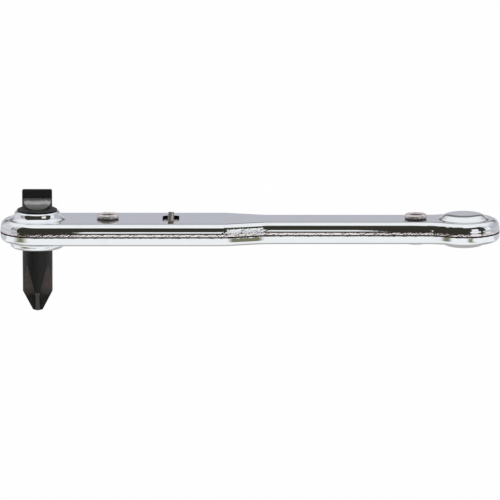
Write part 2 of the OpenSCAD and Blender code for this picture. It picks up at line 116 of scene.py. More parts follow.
class Wire:
    """A socket in a node tree. Arithmetic on it adds Math nodes."""

    def __init__(self, graph: "Graph", socket: bpy.types.NodeSocket) -> None:
        """Keeps the graph and the socket."""
        self.graph = graph
        self.socket = socket

    def _math(self, operation: str, *values: Value) -> "Wire":
        """Adds one Math node.

        Args:
            operation: The node's operation.
            values: The numbers or wires of its inputs, in order.

        Returns:
            The node's result.
        """
        return self.graph.node("ShaderNodeMath", {"operation": operation}, dict(enumerate(values)))

    def __add__(self, other: Value) -> "Wire":
        """Sum."""
        return self._math("ADD", self, other)

    def __radd__(self, other: Value) -> "Wire":
        """Sum, with the number first."""
        return self._math("ADD", other, self)

    def __sub__(self, other: Value) -> "Wire":
        """Difference."""
        return self._math("SUBTRACT", self, other)

    def __rsub__(self, other: Value) -> "Wire":
        """Difference, with the number first."""
        return self._math("SUBTRACT", other, self)

    def __mul__(self, other: Value) -> "Wire":
        """Product."""
        return self._math("MULTIPLY", self, other)

    def __rmul__(self, other: Value) -> "Wire":
        """Product, with the number first."""
        return self._math("MULTIPLY", other, self)

    def __truediv__(self, other: Value) -> "Wire":
        """Quotient."""
        return self._math("DIVIDE", self, other)

    def __neg__(self) -> "Wire":
        """The value with its sign changed."""
        return self._math("MULTIPLY", self, -1.0)

    def __abs__(self) -> "Wire":
        """The value without its sign."""
        return self._math("ABSOLUTE", self)

    def highest(self, other: Value) -> "Wire":
        """The greater of the two values."""
        return self._math("MAXIMUM", self, other)

    def root(self) -> "Wire":
        """The square root."""
        return self._math("SQRT", self)

    def arc_sine(self) -> "Wire":
        """The angle that has this sine, in degrees."""
        return self._math("ARCSINE", self) * DEGREES

    def bearing(self, ahead: Value) -> "Wire":
        """The angle of a direction with this sideways and that forward share, in degrees."""
        return self._math("ARCTAN2", self, ahead) * DEGREES

    def step(self, low: Value, high: Value) -> "Wire":
        """A smooth step.

        Args:
            low: Where it leaves 0.
            high: Where it reaches 1.

        Returns:
            The step's value.
        """
        return self.graph.node(
            "ShaderNodeMapRange", {"interpolation_type": "SMOOTHSTEP"},
            {"Value": self, "From Min": low, "From Max": high, "To Min": 0.0, "To Max": 1.0})

    def band(self, low: float, high: float, soft: float) -> "Wire":
        """A mask of the values between two edges.

        Args:
            low: The lower edge.
            high: The upper edge.
            soft: Half the width of each edge.

        Returns:
            The mask, 1 between the edges.
        """
        return self.step(low - soft, low + soft) * (1.0 - self.step(high - soft, high + soft))

    def out(self, name: str) -> "Wire":
        """Another output of the same node."""
        return Wire(self.graph, self.socket.node.outputs[name])


class Graph:
    """The node tree of a material or of the world."""

    MIX_A, MIX_B, MIX_RESULT = 6, 7, 2

    def __init__(self, tree: bpy.types.NodeTree) -> None:
        """Empties the tree."""
        self.tree = tree
        tree.nodes.clear()

    def node(self, kind: str, settings: Optional[Mapping[str, Any]] = None,
             sockets: Optional[Mapping[Union[str, int], Any]] = None, result: Union[str, int] = 0) -> Wire:
        """Adds a node.

        Args:
            kind: The node's type.
            settings: Its properties, which are set first.
            sockets: Values or wires of its inputs, by name or place.
            result: The output that is wanted.

        Returns:
            That output.
        """
        made = self.tree.nodes.new(kind)
        for name, value in (settings or {}).items():
            setattr(made, name, value)
        for place, value in (sockets or {}).items():
            if isinstance(value, Wire):
                self.tree.links.new(value.socket, made.inputs[place])
            else:
                made.inputs[place].default_value = value
        return Wire(self, made.outputs[result] if len(made.outputs) else None)

    def mix(self, share: Value, first: Union[Wire, Colour], second: Union[Wire, Colour]) -> Wire:
        """Blends two colours.

        Args:
            share: How much of the second colour is taken.
            first: The colour at 0.
            second: The colour at 1.

        Returns:
            The blended colour.
        """
        whole = [c if isinstance(c, Wire) else (*c, 1.0) for c in (first, second)]
        return self.node("ShaderNodeMix", {"data_type": "RGBA"},
                         {0: share, self.MIX_A: whole[0], self.MIX_B: whole[1]}, self.MIX_RESULT)

    def place(self) -> Wire:
        """The point on the piece, in metres."""
        return self.node("ShaderNodeTexCoord").out("Object")

    def noise(self, place: Wire, scale: float, detail: float = 2.0, rough: float = 0.5) -> Wire:
        """Cloudy noise.

        Args:
            place: The point at which it is read.
            scale: Clouds in a metre.
            detail: How many finer layers it has.
            rough: How strong the finer layers are.

        Returns:
            The noise, about 0.5 in the middle.
        """
        return self.node("ShaderNodeTexNoise", {}, {
            "Vector": place, "Scale": scale, "Detail": detail, "Roughness": rough})

    def streaks(self, place: Wire, axes: Point, detail: float = 2.0, rough: float = 0.6,
                scale: float = 1.0) -> Wire:
        """Noise that is drawn out along the axes with the lower numbers.

        Args:
            place: The point at which it is read.
            axes: Streaks in a metre along each axis.
            detail: How many finer layers it has.
            rough: How strong the finer layers are.
            scale: A factor on all three axes.

        Returns:
            The noise, about 0.5 in the middle.
        """
        drawn = self.node("ShaderNodeMapping", {}, {"Vector": place, "Scale": axes})
        return self.noise(drawn, scale, detail, rough)

    def bump(self, height: Wire, depth: float) -> Wire:
        """A normal that follows a height.

        Args:
            height: The height, from 0 to 1.
            depth: What 1 stands for, in metres.

        Returns:
            The normal.
        """
        return self.node("ShaderNodeBump", {}, {"Height": height, "Distance": depth, "Strength": 1.0})

    def surface(self, sockets: Mapping[str, Any]) -> None:
        """Ends the tree in one principled surface with these values."""
        shader = self.node("ShaderNodeBsdfPrincipled", {}, sockets)
        self.node("ShaderNodeOutputMaterial", {}, {"Surface": shader})


def material_graph(name: str) -> tuple[bpy.types.Material, Graph]:
    """Makes an empty node material.

    Args:
        name: The material's name.

    Returns:
        The material and its node tree.
    """
    made = bpy.data.materials.new(name)
    made.use_nodes = True
    return made, Graph(made.node_tree)


def dimmed(colour: Colour, share: float) -> Colour:
    """The colour with only this share of its light."""
    return tuple(share * part for part in colour)


@dataclass(frozen=True)
class ChromePlate:
    """Bright plate on pressed steel: faint waves, hairlines, painted shade in the seam between the halves, and a
    painted warm reflection on the band just above it.

    Sizes of the seam are in millimetres, depth is in metres, and scales are patches in a metre.
    A span says at which noise an effect starts and at which it is full.
    """

    name: str = "bright_chrome"
    colour: Colour = (0.835, 0.865, 0.89)
    smear: Colour = (0.79, 0.81, 0.835)
    warm_reflection: Colour = (0.87, 0.81, 0.81)
    seam_shade: Colour = (0.020, 0.012, 0.011)
    gloss: float = 0.03
    depth: float = 0.000012
    seam_z: float = 3.66
    seam_half: float = 0.1
    seam_least: float = 0.75
    seam_swell: float = 0.7
    seam_fade: float = 1.7
    torn_h: float = 0.59
    torn_soft: float = 0.05
    torn_scale: Point = (1300.0, 1300.0, 500.0)
    torn_span: Span = (0.38, 0.72)
    smear_span: Span = (0.52, 0.72)
    smear_share: float = 0.6
    cloud_scale: float = 210.0
    cloud_span: Span = (0.45, 0.8)
    cloud_rough: float = 0.03
    cloud_relief: float = 0.75
    hair_scale: Point = (90.0, 2600.0, 2600.0)
    hair_span: Span = (0.6, 0.75)
    hair_rough: float = 0.05
    hair_relief: float = 0.1
    pit_scale: float = 3800.0
    pit_span: Span = (0.72, 0.8)
    pit_relief: float = 0.04
    seam_shade_rough: float = 0.5

    def make(self) -> bpy.types.Material:
        """Makes the material.

        Returns:
            The material.
        """
        made, graph = material_graph(self.name)
        place = graph.place()
        clouds = graph.noise(place, self.cloud_scale, 3.0)
        hairs = graph.streaks(place, self.hair_scale)
        pits = graph.noise(place, self.pit_scale, 1.0).step(*self.pit_span)
        torn = graph.streaks(place, self.torn_scale, 3.0, 0.7).step(*self.torn_span)
        above = graph.node("ShaderNodeSeparateXYZ", {}, {"Vector": place}, "Z") - self.seam_z * MM
        # Painted shade: the base colour turns near black, and rougher, in a ragged strip along the gap between the
        # halves.
        reach = (self.seam_least + torn * self.seam_swell) * (self.seam_half * MM)
        painted_shade_mask = 1.0 - abs(above).step(reach, reach * self.seam_fade)
        # Painted reflection: a warm pink tint on the band just above the seam stands in for the rounded rim's
        # reflection.
        edge = above.band(0.0, self.torn_h * MM, self.torn_soft * MM)
        shade = graph.mix(clouds.step(*self.smear_span) * self.smear_share, self.colour, self.smear)
        shade = graph.mix(edge, shade, self.warm_reflection)
        rough = self.gloss + clouds.step(*self.cloud_span) * self.cloud_rough
        rough = rough + hairs.step(*self.hair_span) * self.hair_rough + painted_shade_mask * self.seam_shade_rough
        relief = clouds * self.cloud_relief + hairs * self.hair_relief + pits * self.pit_relief
        graph.surface({
            "Base Color": graph.mix(painted_shade_mask, shade, self.seam_shade), "Metallic": 1.0,
            "Roughness": rough, "Normal": graph.bump(relief, self.depth)})
        return made


@dataclass(frozen=True)
class TurnedSteel:
    """Steel with stains and fine tool marks, which are drawn out along the axes with the lower numbers."""

    name: str
    colour: Colour
    dark: Colour
    gloss: float
    marks: Point = (900.0, 900.0, 5200.0)
    depth: float = 0.000006
    metal: float = 1.0
    stain_scale: float = 520.0
    stain_span: Span = (0.35, 0.72)
    dull_span: Span = (0.4, 0.8)
    dull_rough: float = 0.14
    mark_span: Span = (0.5, 0.75)
    mark_rough: float = 0.08
    mark_relief: float = 0.8

    def make(self) -> bpy.types.Material:
        """Makes the material.

        Returns:
            The material.
        """
        made, graph = material_graph(self.name)
        place = graph.place()
        stain = graph.noise(place, self.stain_scale, 4.0, 0.6)
        lines = graph.streaks(place, self.marks)
        rough = self.gloss + stain.step(*self.dull_span) * self.dull_rough
        relief = lines * self.mark_relief + stain * (1.0 - self.mark_relief)
        graph.surface({
            "Base Color": graph.mix(stain.step(*self.stain_span), self.colour, self.dark),
            "Metallic": self.metal, "Roughness": rough + lines.step(*self.mark_span) * self.mark_rough,
            "Normal": graph.bump(relief, self.depth)})
        return made


@dataclass(frozen=True)
class RolledRivet:
    """Plated rivet with brown painted shade in its dish and round its foot.

    Attributes:
        name: The material's name.
        x: Place of the rivet's axis.
        dish: Distances from the axis at which the dish's painted shade ends.
        foot: Heights at which the painted shade round the foot ends.
        shank: Heights below which there is no painted shade.
    """

    name: str
    x: float
    colour: Colour = (0.90, 0.86, 0.85)
    dull: Colour = (0.66, 0.60, 0.58)
    dish_and_foot_shade: Colour = (0.075, 0.052, 0.044)
    gloss: float = 0.36
    metal: float = 0.6
    depth: float = 0.000002
    dish: Span = (1.15, 1.45)
    dish_ragged: float = 0.5
    dish_share: float = 0.9
    foot: Span = (6.4, 6.66)
    foot_ragged: float = 0.35
    foot_share: float = 0.75
    shank: Span = (2.5, 5.0)
    cloud_scale: float = 900.0
    dull_span: Span = (0.4, 0.75)
    swirl_scale: Point = (2600.0, 2600.0, 400.0)
    swirl_span: Span = (0.5, 0.75)
    swirl_rough: float = 0.06
    dish_and_foot_shade_rough: float = 0.3

    def make(self) -> bpy.types.Material:
        """Makes the material.

        Returns:
            The material.
        """
        made, graph = material_graph(self.name)
        place = graph.place()
        parts = graph.node("ShaderNodeSeparateXYZ", {}, {"Vector": place})
        east, north, height = parts / MM - self.x, parts.out("Y") / MM, parts.out("Z") / MM
        reach = (east * east + north * north).root()
        cloud = graph.noise(place, self.cloud_scale, 3.0, 0.6)
        swirl = graph.streaks(place, self.swirl_scale)
        # Painted shade: brown darkening in the dish and round the foot, where the rivet meets the plate.
        inside = 1.0 - (reach + (cloud - 0.5) * self.dish_ragged).step(*self.dish)
        low = 1.0 - (height + (swirl - 0.5) * self.foot_ragged).step(*self.foot)
        painted_shade_mask = (low * self.foot_share).highest(inside * self.dish_share) * height.step(*self.shank)
        tone = graph.mix(cloud.step(*self.dull_span), self.colour, self.dull)
        rough = self.gloss + swirl.step(*self.swirl_span) * self.swirl_rough + painted_shade_mask * self.dish_and_foot_shade_rough
        graph.surface({
            "Base Color": graph.mix(painted_shade_mask, tone, self.dish_and_foot_shade), "Metallic": self.metal,
            "Roughness": rough, "Normal": graph.bump(swirl, self.depth)})
        return made


@dataclass(frozen=True)
class BlackOxide:
    """Oxidised tool steel: matt black that is rubbed lighter in small places.

    Attributes:
        bands: Lower edge, upper edge, softness and colour of stretches along the bar, in millimetres.
    """

    name: str
    colour: Colour
    rubbed: Colour
    gloss: float
    metal: float
    bands: Sequence[tuple[float, float, float, Colour]] = ()
    depth: float = 0.00001
    level: float = 0.3
    cloud_scale: float = 700.0
    worn_span: Span = (0.5, 0.8)
    worn_share: float = 0.7
    worn_gloss: float = 0.1
    speck_scale: float = 5200.0
    speck_span: Span = (0.66, 0.74)
    speck_share: float = 0.35
    marks: Point = (1500.0, 1500.0, 700.0)
    mark_scale: float = 2.2
    wear_span: Span = (0.3, 0.7)
    band_span: Span = (0.1, 0.5)
    band_ragged: float = 0.8
    mark_span: Span = (0.35, 0.75)
    mark_rough: float = 0.12
    mark_relief: float = 0.7

    def make(self) -> bpy.types.Material:
        """Makes the material.

        Returns:
            The material.
        """
        made, graph = material_graph(self.name)
        place = graph.place()
        cloud = graph.noise(place, self.cloud_scale, 4.0, 0.6)
        grain = graph.streaks(place, self.marks, 3.0, 0.6, self.mark_scale)
        specks = graph.noise(place, self.speck_scale, 1.0).step(*self.speck_span)
        wear = cloud.step(*self.worn_span) * self.worn_share + specks * self.speck_share
        wear = wear * grain.step(*self.wear_span)
        tone = graph.mix(wear, self.colour, self.rubbed)
        height = graph.node("ShaderNodeSeparateXYZ", {}, {"Vector": place}, "Z") / MM
        height = height + (cloud - 0.5) * self.band_ragged
        # Bands paint lighter or darker stretches along the bar; the light one on the ground hollow is a painted
        # highlight.
        for low, high, soft, colour in self.bands:
            tone = graph.mix(height.band(low, high, soft) * grain.step(*self.band_span), tone, colour)
        relief = grain * self.mark_relief + cloud * (1.0 - self.mark_relief)
        graph.surface({
            "Base Color": tone, "Metallic": self.metal,
            "Roughness": self.gloss + grain.step(*self.mark_span) * self.mark_rough - wear * self.worn_gloss,
            "Normal": graph.bump(relief, self.depth),
            "Specular IOR Level": self.level})
        return made


@dataclass(frozen=True)
class PaleFloor:
    """White floor that the lens and the metal see as white, and that is lit and shaded for all other light."""

    name: str = "pale_floor"
    paint: Colour = (0.86, 0.86, 0.86)
    strength: float = 1.0
    share: float = 0.985
    mottle_scale: float = 3.0
    mottle_span: Span = (0.3, 0.7)
    mottle_dim: float = 0.985

    def make(self) -> bpy.types.Material:
        """Makes the material.

        Returns:
            The material.
        """
        made, graph = material_graph(self.name)
        path = graph.node("ShaderNodeLightPath")
        seen = path.out("Is Camera Ray").highest(path.out("Is Glossy Ray")).highest(path.out("Is Transmission Ray"))
        mottle = graph.noise(graph.place(), self.mottle_scale).step(*self.mottle_span)
        tone = graph.mix(mottle, self.paint, dimmed(self.paint, self.mottle_dim))
        matt = graph.node("ShaderNodeBsdfDiffuse", {}, {"Color": tone})
        glow = graph.node("ShaderNodeEmission", {}, {"Strength": self.strength})
        front = graph.node("ShaderNodeMixShader", {}, {0: seen * self.share, 1: matt, 2: glow})
        clear = graph.node("ShaderNodeBsdfTransparent")
        under = graph.node("ShaderNodeNewGeometry").out("Backfacing")
        graph.node("ShaderNodeOutputMaterial", {}, {
            "Surface": graph.node("ShaderNodeMixShader", {}, {0: under, 1: front, 2: clear})})
        return made


@dataclass(frozen=True)
class StudioPaper:
    """Plain paper of the studio's cards and flags, with borders that fade out.

    Attributes:
        name: The material's name.
        tone: Its colour.
        spans: Axis, lower end, upper end and width of the fading border, in millimetres.
    """

    name: str
    tone: Colour
    spans: Sequence[tuple[str, float, float, float]] = ()
    fibre_scale: float = 40.0
    fibre_span: Span = (0.3, 0.7)
    fibre_dim: float = 0.96

    def make(self) -> bpy.types.Material:
        """Makes the material.

        Returns:
            The material.
        """
        made, graph = material_graph(self.name)
        place = graph.place()
        fibre = graph.noise(place, self.fibre_scale, 3.0).step(*self.fibre_span)
        tone = graph.mix(fibre, self.tone, dimmed(self.tone, self.fibre_dim))
        paper = graph.node("ShaderNodeEmission", {}, {"Color": tone})
        parts = graph.node("ShaderNodeSeparateXYZ", {}, {"Vector": place})
        for axis, low, high, fade in self.spans:
            share = (parts.out(axis) / MM).band(low + fade / 2.0, high - fade / 2.0, fade / 2.0)
            clear = graph.node("ShaderNodeBsdfTransparent")
            paper = graph.node("ShaderNodeMixShader", {}, {0: share, 1: clear, 2: paper})
        graph.node("ShaderNodeOutputMaterial", {}, {"Surface": paper})
        return made


def line(start: Sequence[float], end: Sequence[float], count: int = 1) -> Rows:
    """A straight stretch of a profile.

    Args:
        start: Its first offset and height.
        end: Its last offset and height.
        count: How many steps it has.

    Returns:
        Rows of offset, height, and the two parts of the normal, which lies to the right of the way.
    """
    share = np.linspace(0.0, 1.0, count + 1)[:, None]
    way = np.subtract(end, start)
    normal = np.array([way[1], -way[0]]) / np.hypot(*way)
    return np.hstack([np.add(start, share * way), np.tile(normal, (count + 1, 1))])


def arc(centre: Sequence[float], radius: float, start: float, end: float, count: int, side: int = 1) -> Rows:
    """A round stretch of a profile.

    Args:
        centre: Offset and height of its centre.
        radius: Its radius.
        start: Angle of its first point, in degrees.
        end: Angle of its last point, in degrees.
        count: How many steps it has.
        side: 1 on a rounding and -1 in a fillet.

    Returns:
        Rows of offset, height, and the two parts of the normal.
    """
    angle = np.radians(np.linspace(start, end, count + 1))
    way = np.stack([np.cos(angle), np.sin(angle)], axis=1)
    return np.hstack([np.add(centre, radius * way), side * way])


def chain(*stretches: Rows) -> Rows:
    """Joins stretches of a profile and drops the points that they share.

    Args:
        stretches: The stretches, in order.

    Returns:
        The rows of all of them.
    """
    rows = [stretches[0]]
    for stretch in stretches[1:]:
        same = np.allclose(stretch[0, :2], rows[-1][-1, :2], atol=TINY)
        rows.append(stretch[1:] if same else stretch)
    return np.vstack(rows)


@dataclass
class Loop:
    """A closed way round, seen from above, anticlockwise.

    Attributes:
        base: Its points.
        outward: The outward direction at each point.
    """

    base: np.ndarray
    outward: np.ndarray

    @classmethod
    def circle(cls, x: float, count: int) -> "Loop":
        """A point on the middle line with directions all round, so that an offset is a radius."""
        turn = np.arange(count) * (2.0 * math.pi / count)
        return cls(np.tile((x, 0.0), (count, 1)), np.stack([np.cos(turn), np.sin(turn)], axis=1))

    @classmethod
    def rounded(cls, x: float, length: float, width: float, radius: float, count: int) -> "Loop":
        """A rectangle with round corners.

        Args:
            x: Place of its middle.
            length: Its extent in X.
            width: Its extent in Y.
            radius: Radius of its corners.
            count: Steps in each corner and on each side.

        Returns:
            The loop.
        """
        base, outward = [], []
        for k, (right, up) in enumerate(((1, -1), (1, 1), (-1, 1), (-1, -1))):
            centre = np.array((x + right * (length / 2 - radius), up * (width / 2 - radius)))
            turn = np.radians(np.linspace(90.0 * (k - 1), 90.0 * k, count + 1))
            way = np.stack([np.cos(turn), np.sin(turn)], axis=1)
            base.append(centre + radius * way)
            outward.append(way)
        closed = [np.vstack([b, b[-1] + (n[0] - b[-1]) * np.linspace(0, 1, count + 1)[1:-1, None]])
                  for b, n in zip(base, base[1:] + base[:1])]
        facing = [np.vstack([o, np.tile(o[-1], (count - 1, 1))]) for o in outward]
        points, ways = np.vstack(closed), np.vstack(facing)
        keep = np.linalg.norm(points - np.roll(points, 1, axis=0), axis=1) > TINY
        return cls(points[keep], ways[keep])

    def steps(self) -> np.ndarray:
        """The distance from each point to the next."""
        return np.linalg.norm(np.roll(self.base, -1, axis=0) - self.base, axis=1)


class Skin:
    """A closed mesh of smooth patches that share their border points, in millimetres."""

    WELD = 1e-4

    def __init__(self, base: float = 0.0, half: Half = Half.UPPER) -> None:
        """Starts an empty mesh.

        Args:
            base: The plane from which heights are counted.
            half: Whether they are counted up or down.
        """
        self.base = base
        self.sign = half.value
        self.points: list[np.ndarray] = []
        self.corners: list[tuple[np.ndarray, np.ndarray, np.ndarray]] = []
        self.count = 0

    def patch(self, points: np.ndarray, faces: np.ndarray, normals: np.ndarray, finish: np.ndarray) -> None:
        """Adds faces and turns them so that they face their normals.

        Args:
            points: The points.
            faces: The faces, as places in the points.
            normals: The normal at each point.
            finish: The place of each face's material.
        """
        corner = points[faces]
        across = np.cross(corner[:, 2] - corner[:, 0], corner[:, -1] - corner[:, 1])
        if np.sum(across * normals[faces].sum(axis=1)) < 0:
            faces = faces[:, ::-1]
        self.corners.append((faces + self.count, normals[faces], finish))
        self.points.append(points)
        self.count += len(points)

    def lattice(self, points: np.ndarray, normals: np.ndarray, finish: Union[int, np.ndarray] = 0) -> None:
        """Adds a lattice that is closed along its rows.

        Args:
            points: The points, row by row.
            normals: The normal at each point.
            finish: The place of the material, or one for each face.
        """
        rows, columns = points.shape[:2]
        here = np.arange(rows * columns).reshape(rows, columns)
        after = np.roll(here, -1, axis=1)
        faces = np.stack([here[:-1], after[:-1], after[1:], here[1:]], axis=-1).reshape(-1, 4)
        kinds = np.broadcast_to(finish, (rows - 1, columns)).reshape(-1)
        self.patch(points.reshape(-1, 3), faces, normals.reshape(-1, 3), kinds)

    def sweep(self, loop: Loop, rows: Rows, finish: int = 0, relief: Optional[np.ndarray] = None) -> np.ndarray:
        """Adds a profile that is led round a loop.

        Args:
            loop: The way round.
            rows: The profile.
            finish: The place of the material.
            relief: How far each point stands out along its normal.

        Returns:
            The points, row by row.
        """
        points = np.empty((len(rows), len(loop.base), 3))
        points[..., :2] = loop.base + rows[:, 0, None, None] * loop.outward
        points[..., 2] = self.base + self.sign * rows[:, 1, None]
        normals = np.empty_like(points)
        normals[..., :2] = rows[:, 2, None, None] * loop.outward
        normals[..., 2] = self.sign * rows[:, 3, None]
        if relief is not None:
            points, normals = self._raised(loop, rows, points, normals, relief)
        self.lattice(points, normals, finish)
        return points

    def _raised(self, loop: Loop, rows: Rows, points: np.ndarray, normals: np.ndarray,
                relief: np.ndarray) -> tuple[np.ndarray, np.ndarray]:
        """Moves points along their normals and tilts the normals to suit.

        Args:
            loop: The way round.
            rows: The profile.
            points: The plain points.
            normals: The plain normals.
            relief: How far each point moves.

        Returns:
            The new points and normals.
        """
        steps = loop.steps()
        along = (np.roll(relief, -1, axis=1) - np.roll(relief, 1, axis=1)) / (steps + np.roll(steps, 1))
        reach = np.concatenate([[0.0], np.cumsum(np.hypot(*np.diff(rows[:, :2], axis=0).T))])
        up = np.gradient(relief, reach, axis=0)
        tangent = np.zeros_like(normals)
        tangent[..., 0], tangent[..., 1] = -loop.outward[:, 1], loop.outward[:, 0]
        climb = np.empty_like(normals)
        climb[..., :2] = -rows[:, 3, None, None] * loop.outward
        climb[..., 2] = self.sign * rows[:, 2, None]
        tilted = normals - along[..., None] * tangent - up[..., None] * climb
        return points + relief[..., None] * normals, tilted / np.linalg.norm(tilted, axis=-1, keepdims=True)

    def fill(self, loops: Sequence[np.ndarray], facing: int, finish: int = 0) -> None:
        """Adds a flat face with holes.

        Args:
            loops: Points of the outer border and of each hole.
            facing: 1 where it faces away from the base plane, or -1.
            finish: The place of the material.
        """
        points = np.vstack(loops)
        faces = np.array(tessellate_polygon([[Vector(p) for p in loop] for loop in loops]))
        normals = np.tile((0.0, 0.0, float(facing * self.sign)), (len(points), 1))
        corner = points[faces]
        up = np.cross(corner[:, 1] - corner[:, 0], corner[:, 2] - corner[:, 0])[:, 2] * facing * self.sign
        faces[up < 0] = faces[up < 0][:, ::-1]
        self.patch(points, faces, normals, np.full(len(faces), finish))

    def build(self, name: str, finishes: Sequence[bpy.types.Material],
              crisp: Optional[float] = None) -> bpy.types.Object:
        """Welds the patches into one mesh.

        Args:
            name: Name of the piece.
            finishes: Its materials.
            crisp: The angle in degrees above which an edge is sharp, or None to keep the patches' normals.

        Returns:
            The piece.
        """
        points = np.vstack(self.points)
        grid = np.round(points / self.WELD).astype(np.int64)
        _, first, where = np.unique(grid, axis=0, return_index=True, return_inverse=True)
        where = where.reshape(-1)
        faces, normals, kinds = [], [], []
        for corner, ways, finish in self.corners:
            for ids, way, kind in zip(where[corner].tolist(), ways.tolist(), finish.tolist()):
                kept = [k for k in range(len(ids)) if ids[k] != ids[k - 1]]
                if len(kept) < 3:
                    continue
                faces.append([ids[k] for k in kept])
                normals.extend(way[k] for k in kept)
                kinds.append(kind)
        mesh = bpy.data.meshes.new(name)
        mesh.from_pydata((points[first] * MM).tolist(), [], faces)
        for finish in finishes:
            mesh.materials.append(finish)
        mesh.polygons.foreach_set("use_smooth", [True] * len(faces))
        mesh.polygons.foreach_set("material_index", kinds)
        mesh.update()
        if crisp is None:
            mesh.normals_split_custom_set(normals)
        else:
            mesh.set_sharp_from_angle(angle=math.radians(crisp))
        piece = bpy.data.objects.new(name, mesh)
        bpy.context.collection.objects.link(piece)
        return piece


def dress(piece: bpy.types.Object, node: str, body: Body) -> None:
    """Puts a finished piece in the place of its CAD node.

    Args:
        piece: The piece.
        node: The node that it stands for.
        body: The body that it moves with.
    """
    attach(piece, body.value)
    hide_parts(node)
    LOG.info("%s: %d faces, rides on %s", piece.name, len(piece.data.polygons), body.value)


@dataclass
class Outline:
    """The body's outline from above: round head, waist, slim grip and round tail."""

    head_r: float = 7.4
    tail_r: float = 7.2
    tail_x: float = 85.2
    grip_half: float = 5.2
    waist_x: float = 37.7
    waist_l: float = 7.8
    waist_r: float = 4.0
    hollow_r: float = 8.0
    step: float = 0.2

    def _bow(self, centre: Sequence[float], radius: float, start: float, end: float, side: int = 1) -> np.ndarray:
        """Points of an arc with their outward directions, one step apart."""
        count = max(2, math.ceil(abs(math.radians(end - start)) * radius / self.step))
        return arc(centre, radius, start, end, count, side)

    def _run(self, start: np.ndarray, end: np.ndarray) -> np.ndarray:
        """Points of a straight with their outward directions, one step apart."""
        return line(start[:2], end[:2], math.ceil(np.hypot(*np.subtract(end[:2], start[:2])) / self.step))

    def loop(self) -> Loop:
        """Goes round the whole outline.

        Returns:
            The outline, from the tail's end round the head and back.
        """
        slant = math.degrees(math.atan((self.head_r - self.grip_half) / self.waist_l))
        tangent = self.waist_r * math.tan(math.radians(slant / 2))
        hollow_y = self.grip_half + self.hollow_r
        hollow_dx = math.sqrt((self.tail_r + self.hollow_r) ** 2 - hollow_y ** 2)
        swing = math.degrees(math.atan2(hollow_y, -hollow_dx))
        tail = self._bow((self.tail_x, 0.0), self.tail_r, 0.0, swing)
        hollow = self._bow((self.tail_x - hollow_dx, hollow_y), self.hollow_r, swing + 180.0, 270.0, -1)
        rear = self._bow((self.waist_x + self.waist_l + tangent, self.grip_half + self.waist_r), self.waist_r,
                         270.0, 270.0 - slant, -1)
        front = self._bow((self.waist_x - tangent, self.head_r - self.waist_r), self.waist_r, 90.0 - slant, 90.0)
        head = self._bow((0.0, 0.0), self.head_r, 90.0, 180.0)
        half = chain(tail, hollow, self._run(hollow[-1], rear[0]), rear, self._run(rear[-1], front[0]), front,
                     self._run(front[-1], head[0]), head)
        mirrored = half[-2:0:-1] * np.array((1.0, -1.0, 1.0, -1.0))
        whole = np.vstack([half, mirrored])
        return Loop(whole[:, :2], whole[:, 2:])


@dataclass
class Shear:
    """The torn edge of a pressed sheet: seeded waves that run round the outline, stronger where the waist is drawn."""

    seed: int
    amplitude: float
    waves: int = 26
    longest: float = 4.5
    shortest: float = 0.5
    lean: float = 20.0
    waist_x: float = 41.7
    waist_half: float = 4.6
    waist_gain: float = 3.0

    def relief(self, loop: Loop, rows: Rows, weight: np.ndarray, waist_weight: np.ndarray) -> np.ndarray:
        """Works out how far each point stands out.

        Args:
            loop: The way round.
            rows: The profile.
            weight: Strength of the waves on each row.
            waist_weight: Their added strength at the waist on each row.

        Returns:
            The relief, row by row.
        """
        draw = np.random.default_rng(self.seed)
        steps = loop.steps()
        length = steps.sum()
        along = np.concatenate([[0.0], np.cumsum(steps)[:-1]]) / length
        total = np.zeros((len(rows), len(along)))
        for _ in range(self.waves):
            wave = math.exp(draw.uniform(math.log(self.shortest), math.log(self.longest)))
            turns = round(length / wave)
            tilt = draw.uniform(-self.lean, self.lean)
            phase = draw.uniform(0.0, 2.0 * math.pi)
            total += np.sin(2.0 * math.pi * turns * along[None, :] + tilt * rows[:, 1, None] + phase)
        total /= math.sqrt(self.waves / 2.0)
        waist = np.exp(-((loop.base[:, 0] - self.waist_x) / self.waist_half) ** 4)
        strength = weight[:, None] + self.waist_gain * waist_weight[:, None] * waist[None, :]
        return self.amplitude * strength * total


@dataclass
class Crown:
    """The dome on the tail: flat in the middle, round at its shoulder, with a fillet at its foot."""

    rise: float
    radius: float = 4.75
    power: float = 7.0
    fillet: float = 1.3
    hollow_r: float = 4.0

    HALVINGS = 60

    def _curve(self, radius: float, r: np.ndarray) -> Rows:
        """The plain crown, without its fillet.

        Args:
            radius: Distance from its axis to its foot.
            r: Distances from its axis at which it is wanted.

        Returns:
            Rows of offset, height, and the two parts of the normal.
        """
        share = r / radius
        slope = self.rise * self.power * share ** (self.power - 1.0) / radius
        size = np.hypot(slope, 1.0)
        return np.stack([r, self.rise * (1.0 - share ** self.power), slope / size, 1.0 / size], axis=1)

    def outside(self, face: float) -> Rows:
        """The profile from the flat face up to the middle.

        Args:
            face: Height of the flat face.

        Returns:
            The rows, from the foot to the axis.
        """
        low, high = 0.5 * self.radius, self.radius
        for _ in range(self.HALVINGS):
            middle = (low + high) / 2.0
            row = self._curve(self.radius, np.array([middle]))[0]
            low, high = (middle, high) if row[1] > self.fillet * (1.0 - row[3]) else (low, middle)
        meet = self._curve(self.radius, np.array([low]))[0]
        lean = math.degrees(math.atan2(meet[3], meet[2]))
        foot = arc((meet[0] + self.fillet * meet[2], self.fillet), self.fillet, 270.0, 180.0 + lean, 12, -1)
        share = np.sin(np.linspace(0.5 * math.pi, 0.0, 34))
        rows = chain(foot, self._curve(self.radius, meet[0] * share))
        rows[:, 1] += face
        return rows

    def inside(self, ceiling: float) -> Rows:
        """The profile of the hollow.

        Args:
            ceiling: Height of the ceiling round it.

        Returns:
            The rows, from the axis to the ceiling.
        """
        rows = self._curve(self.hollow_r, self.hollow_r * np.linspace(0.0, 1.0, 17))
        rows[:, 2:] *= -1.0
        rows[:, 1] += ceiling
        return rows


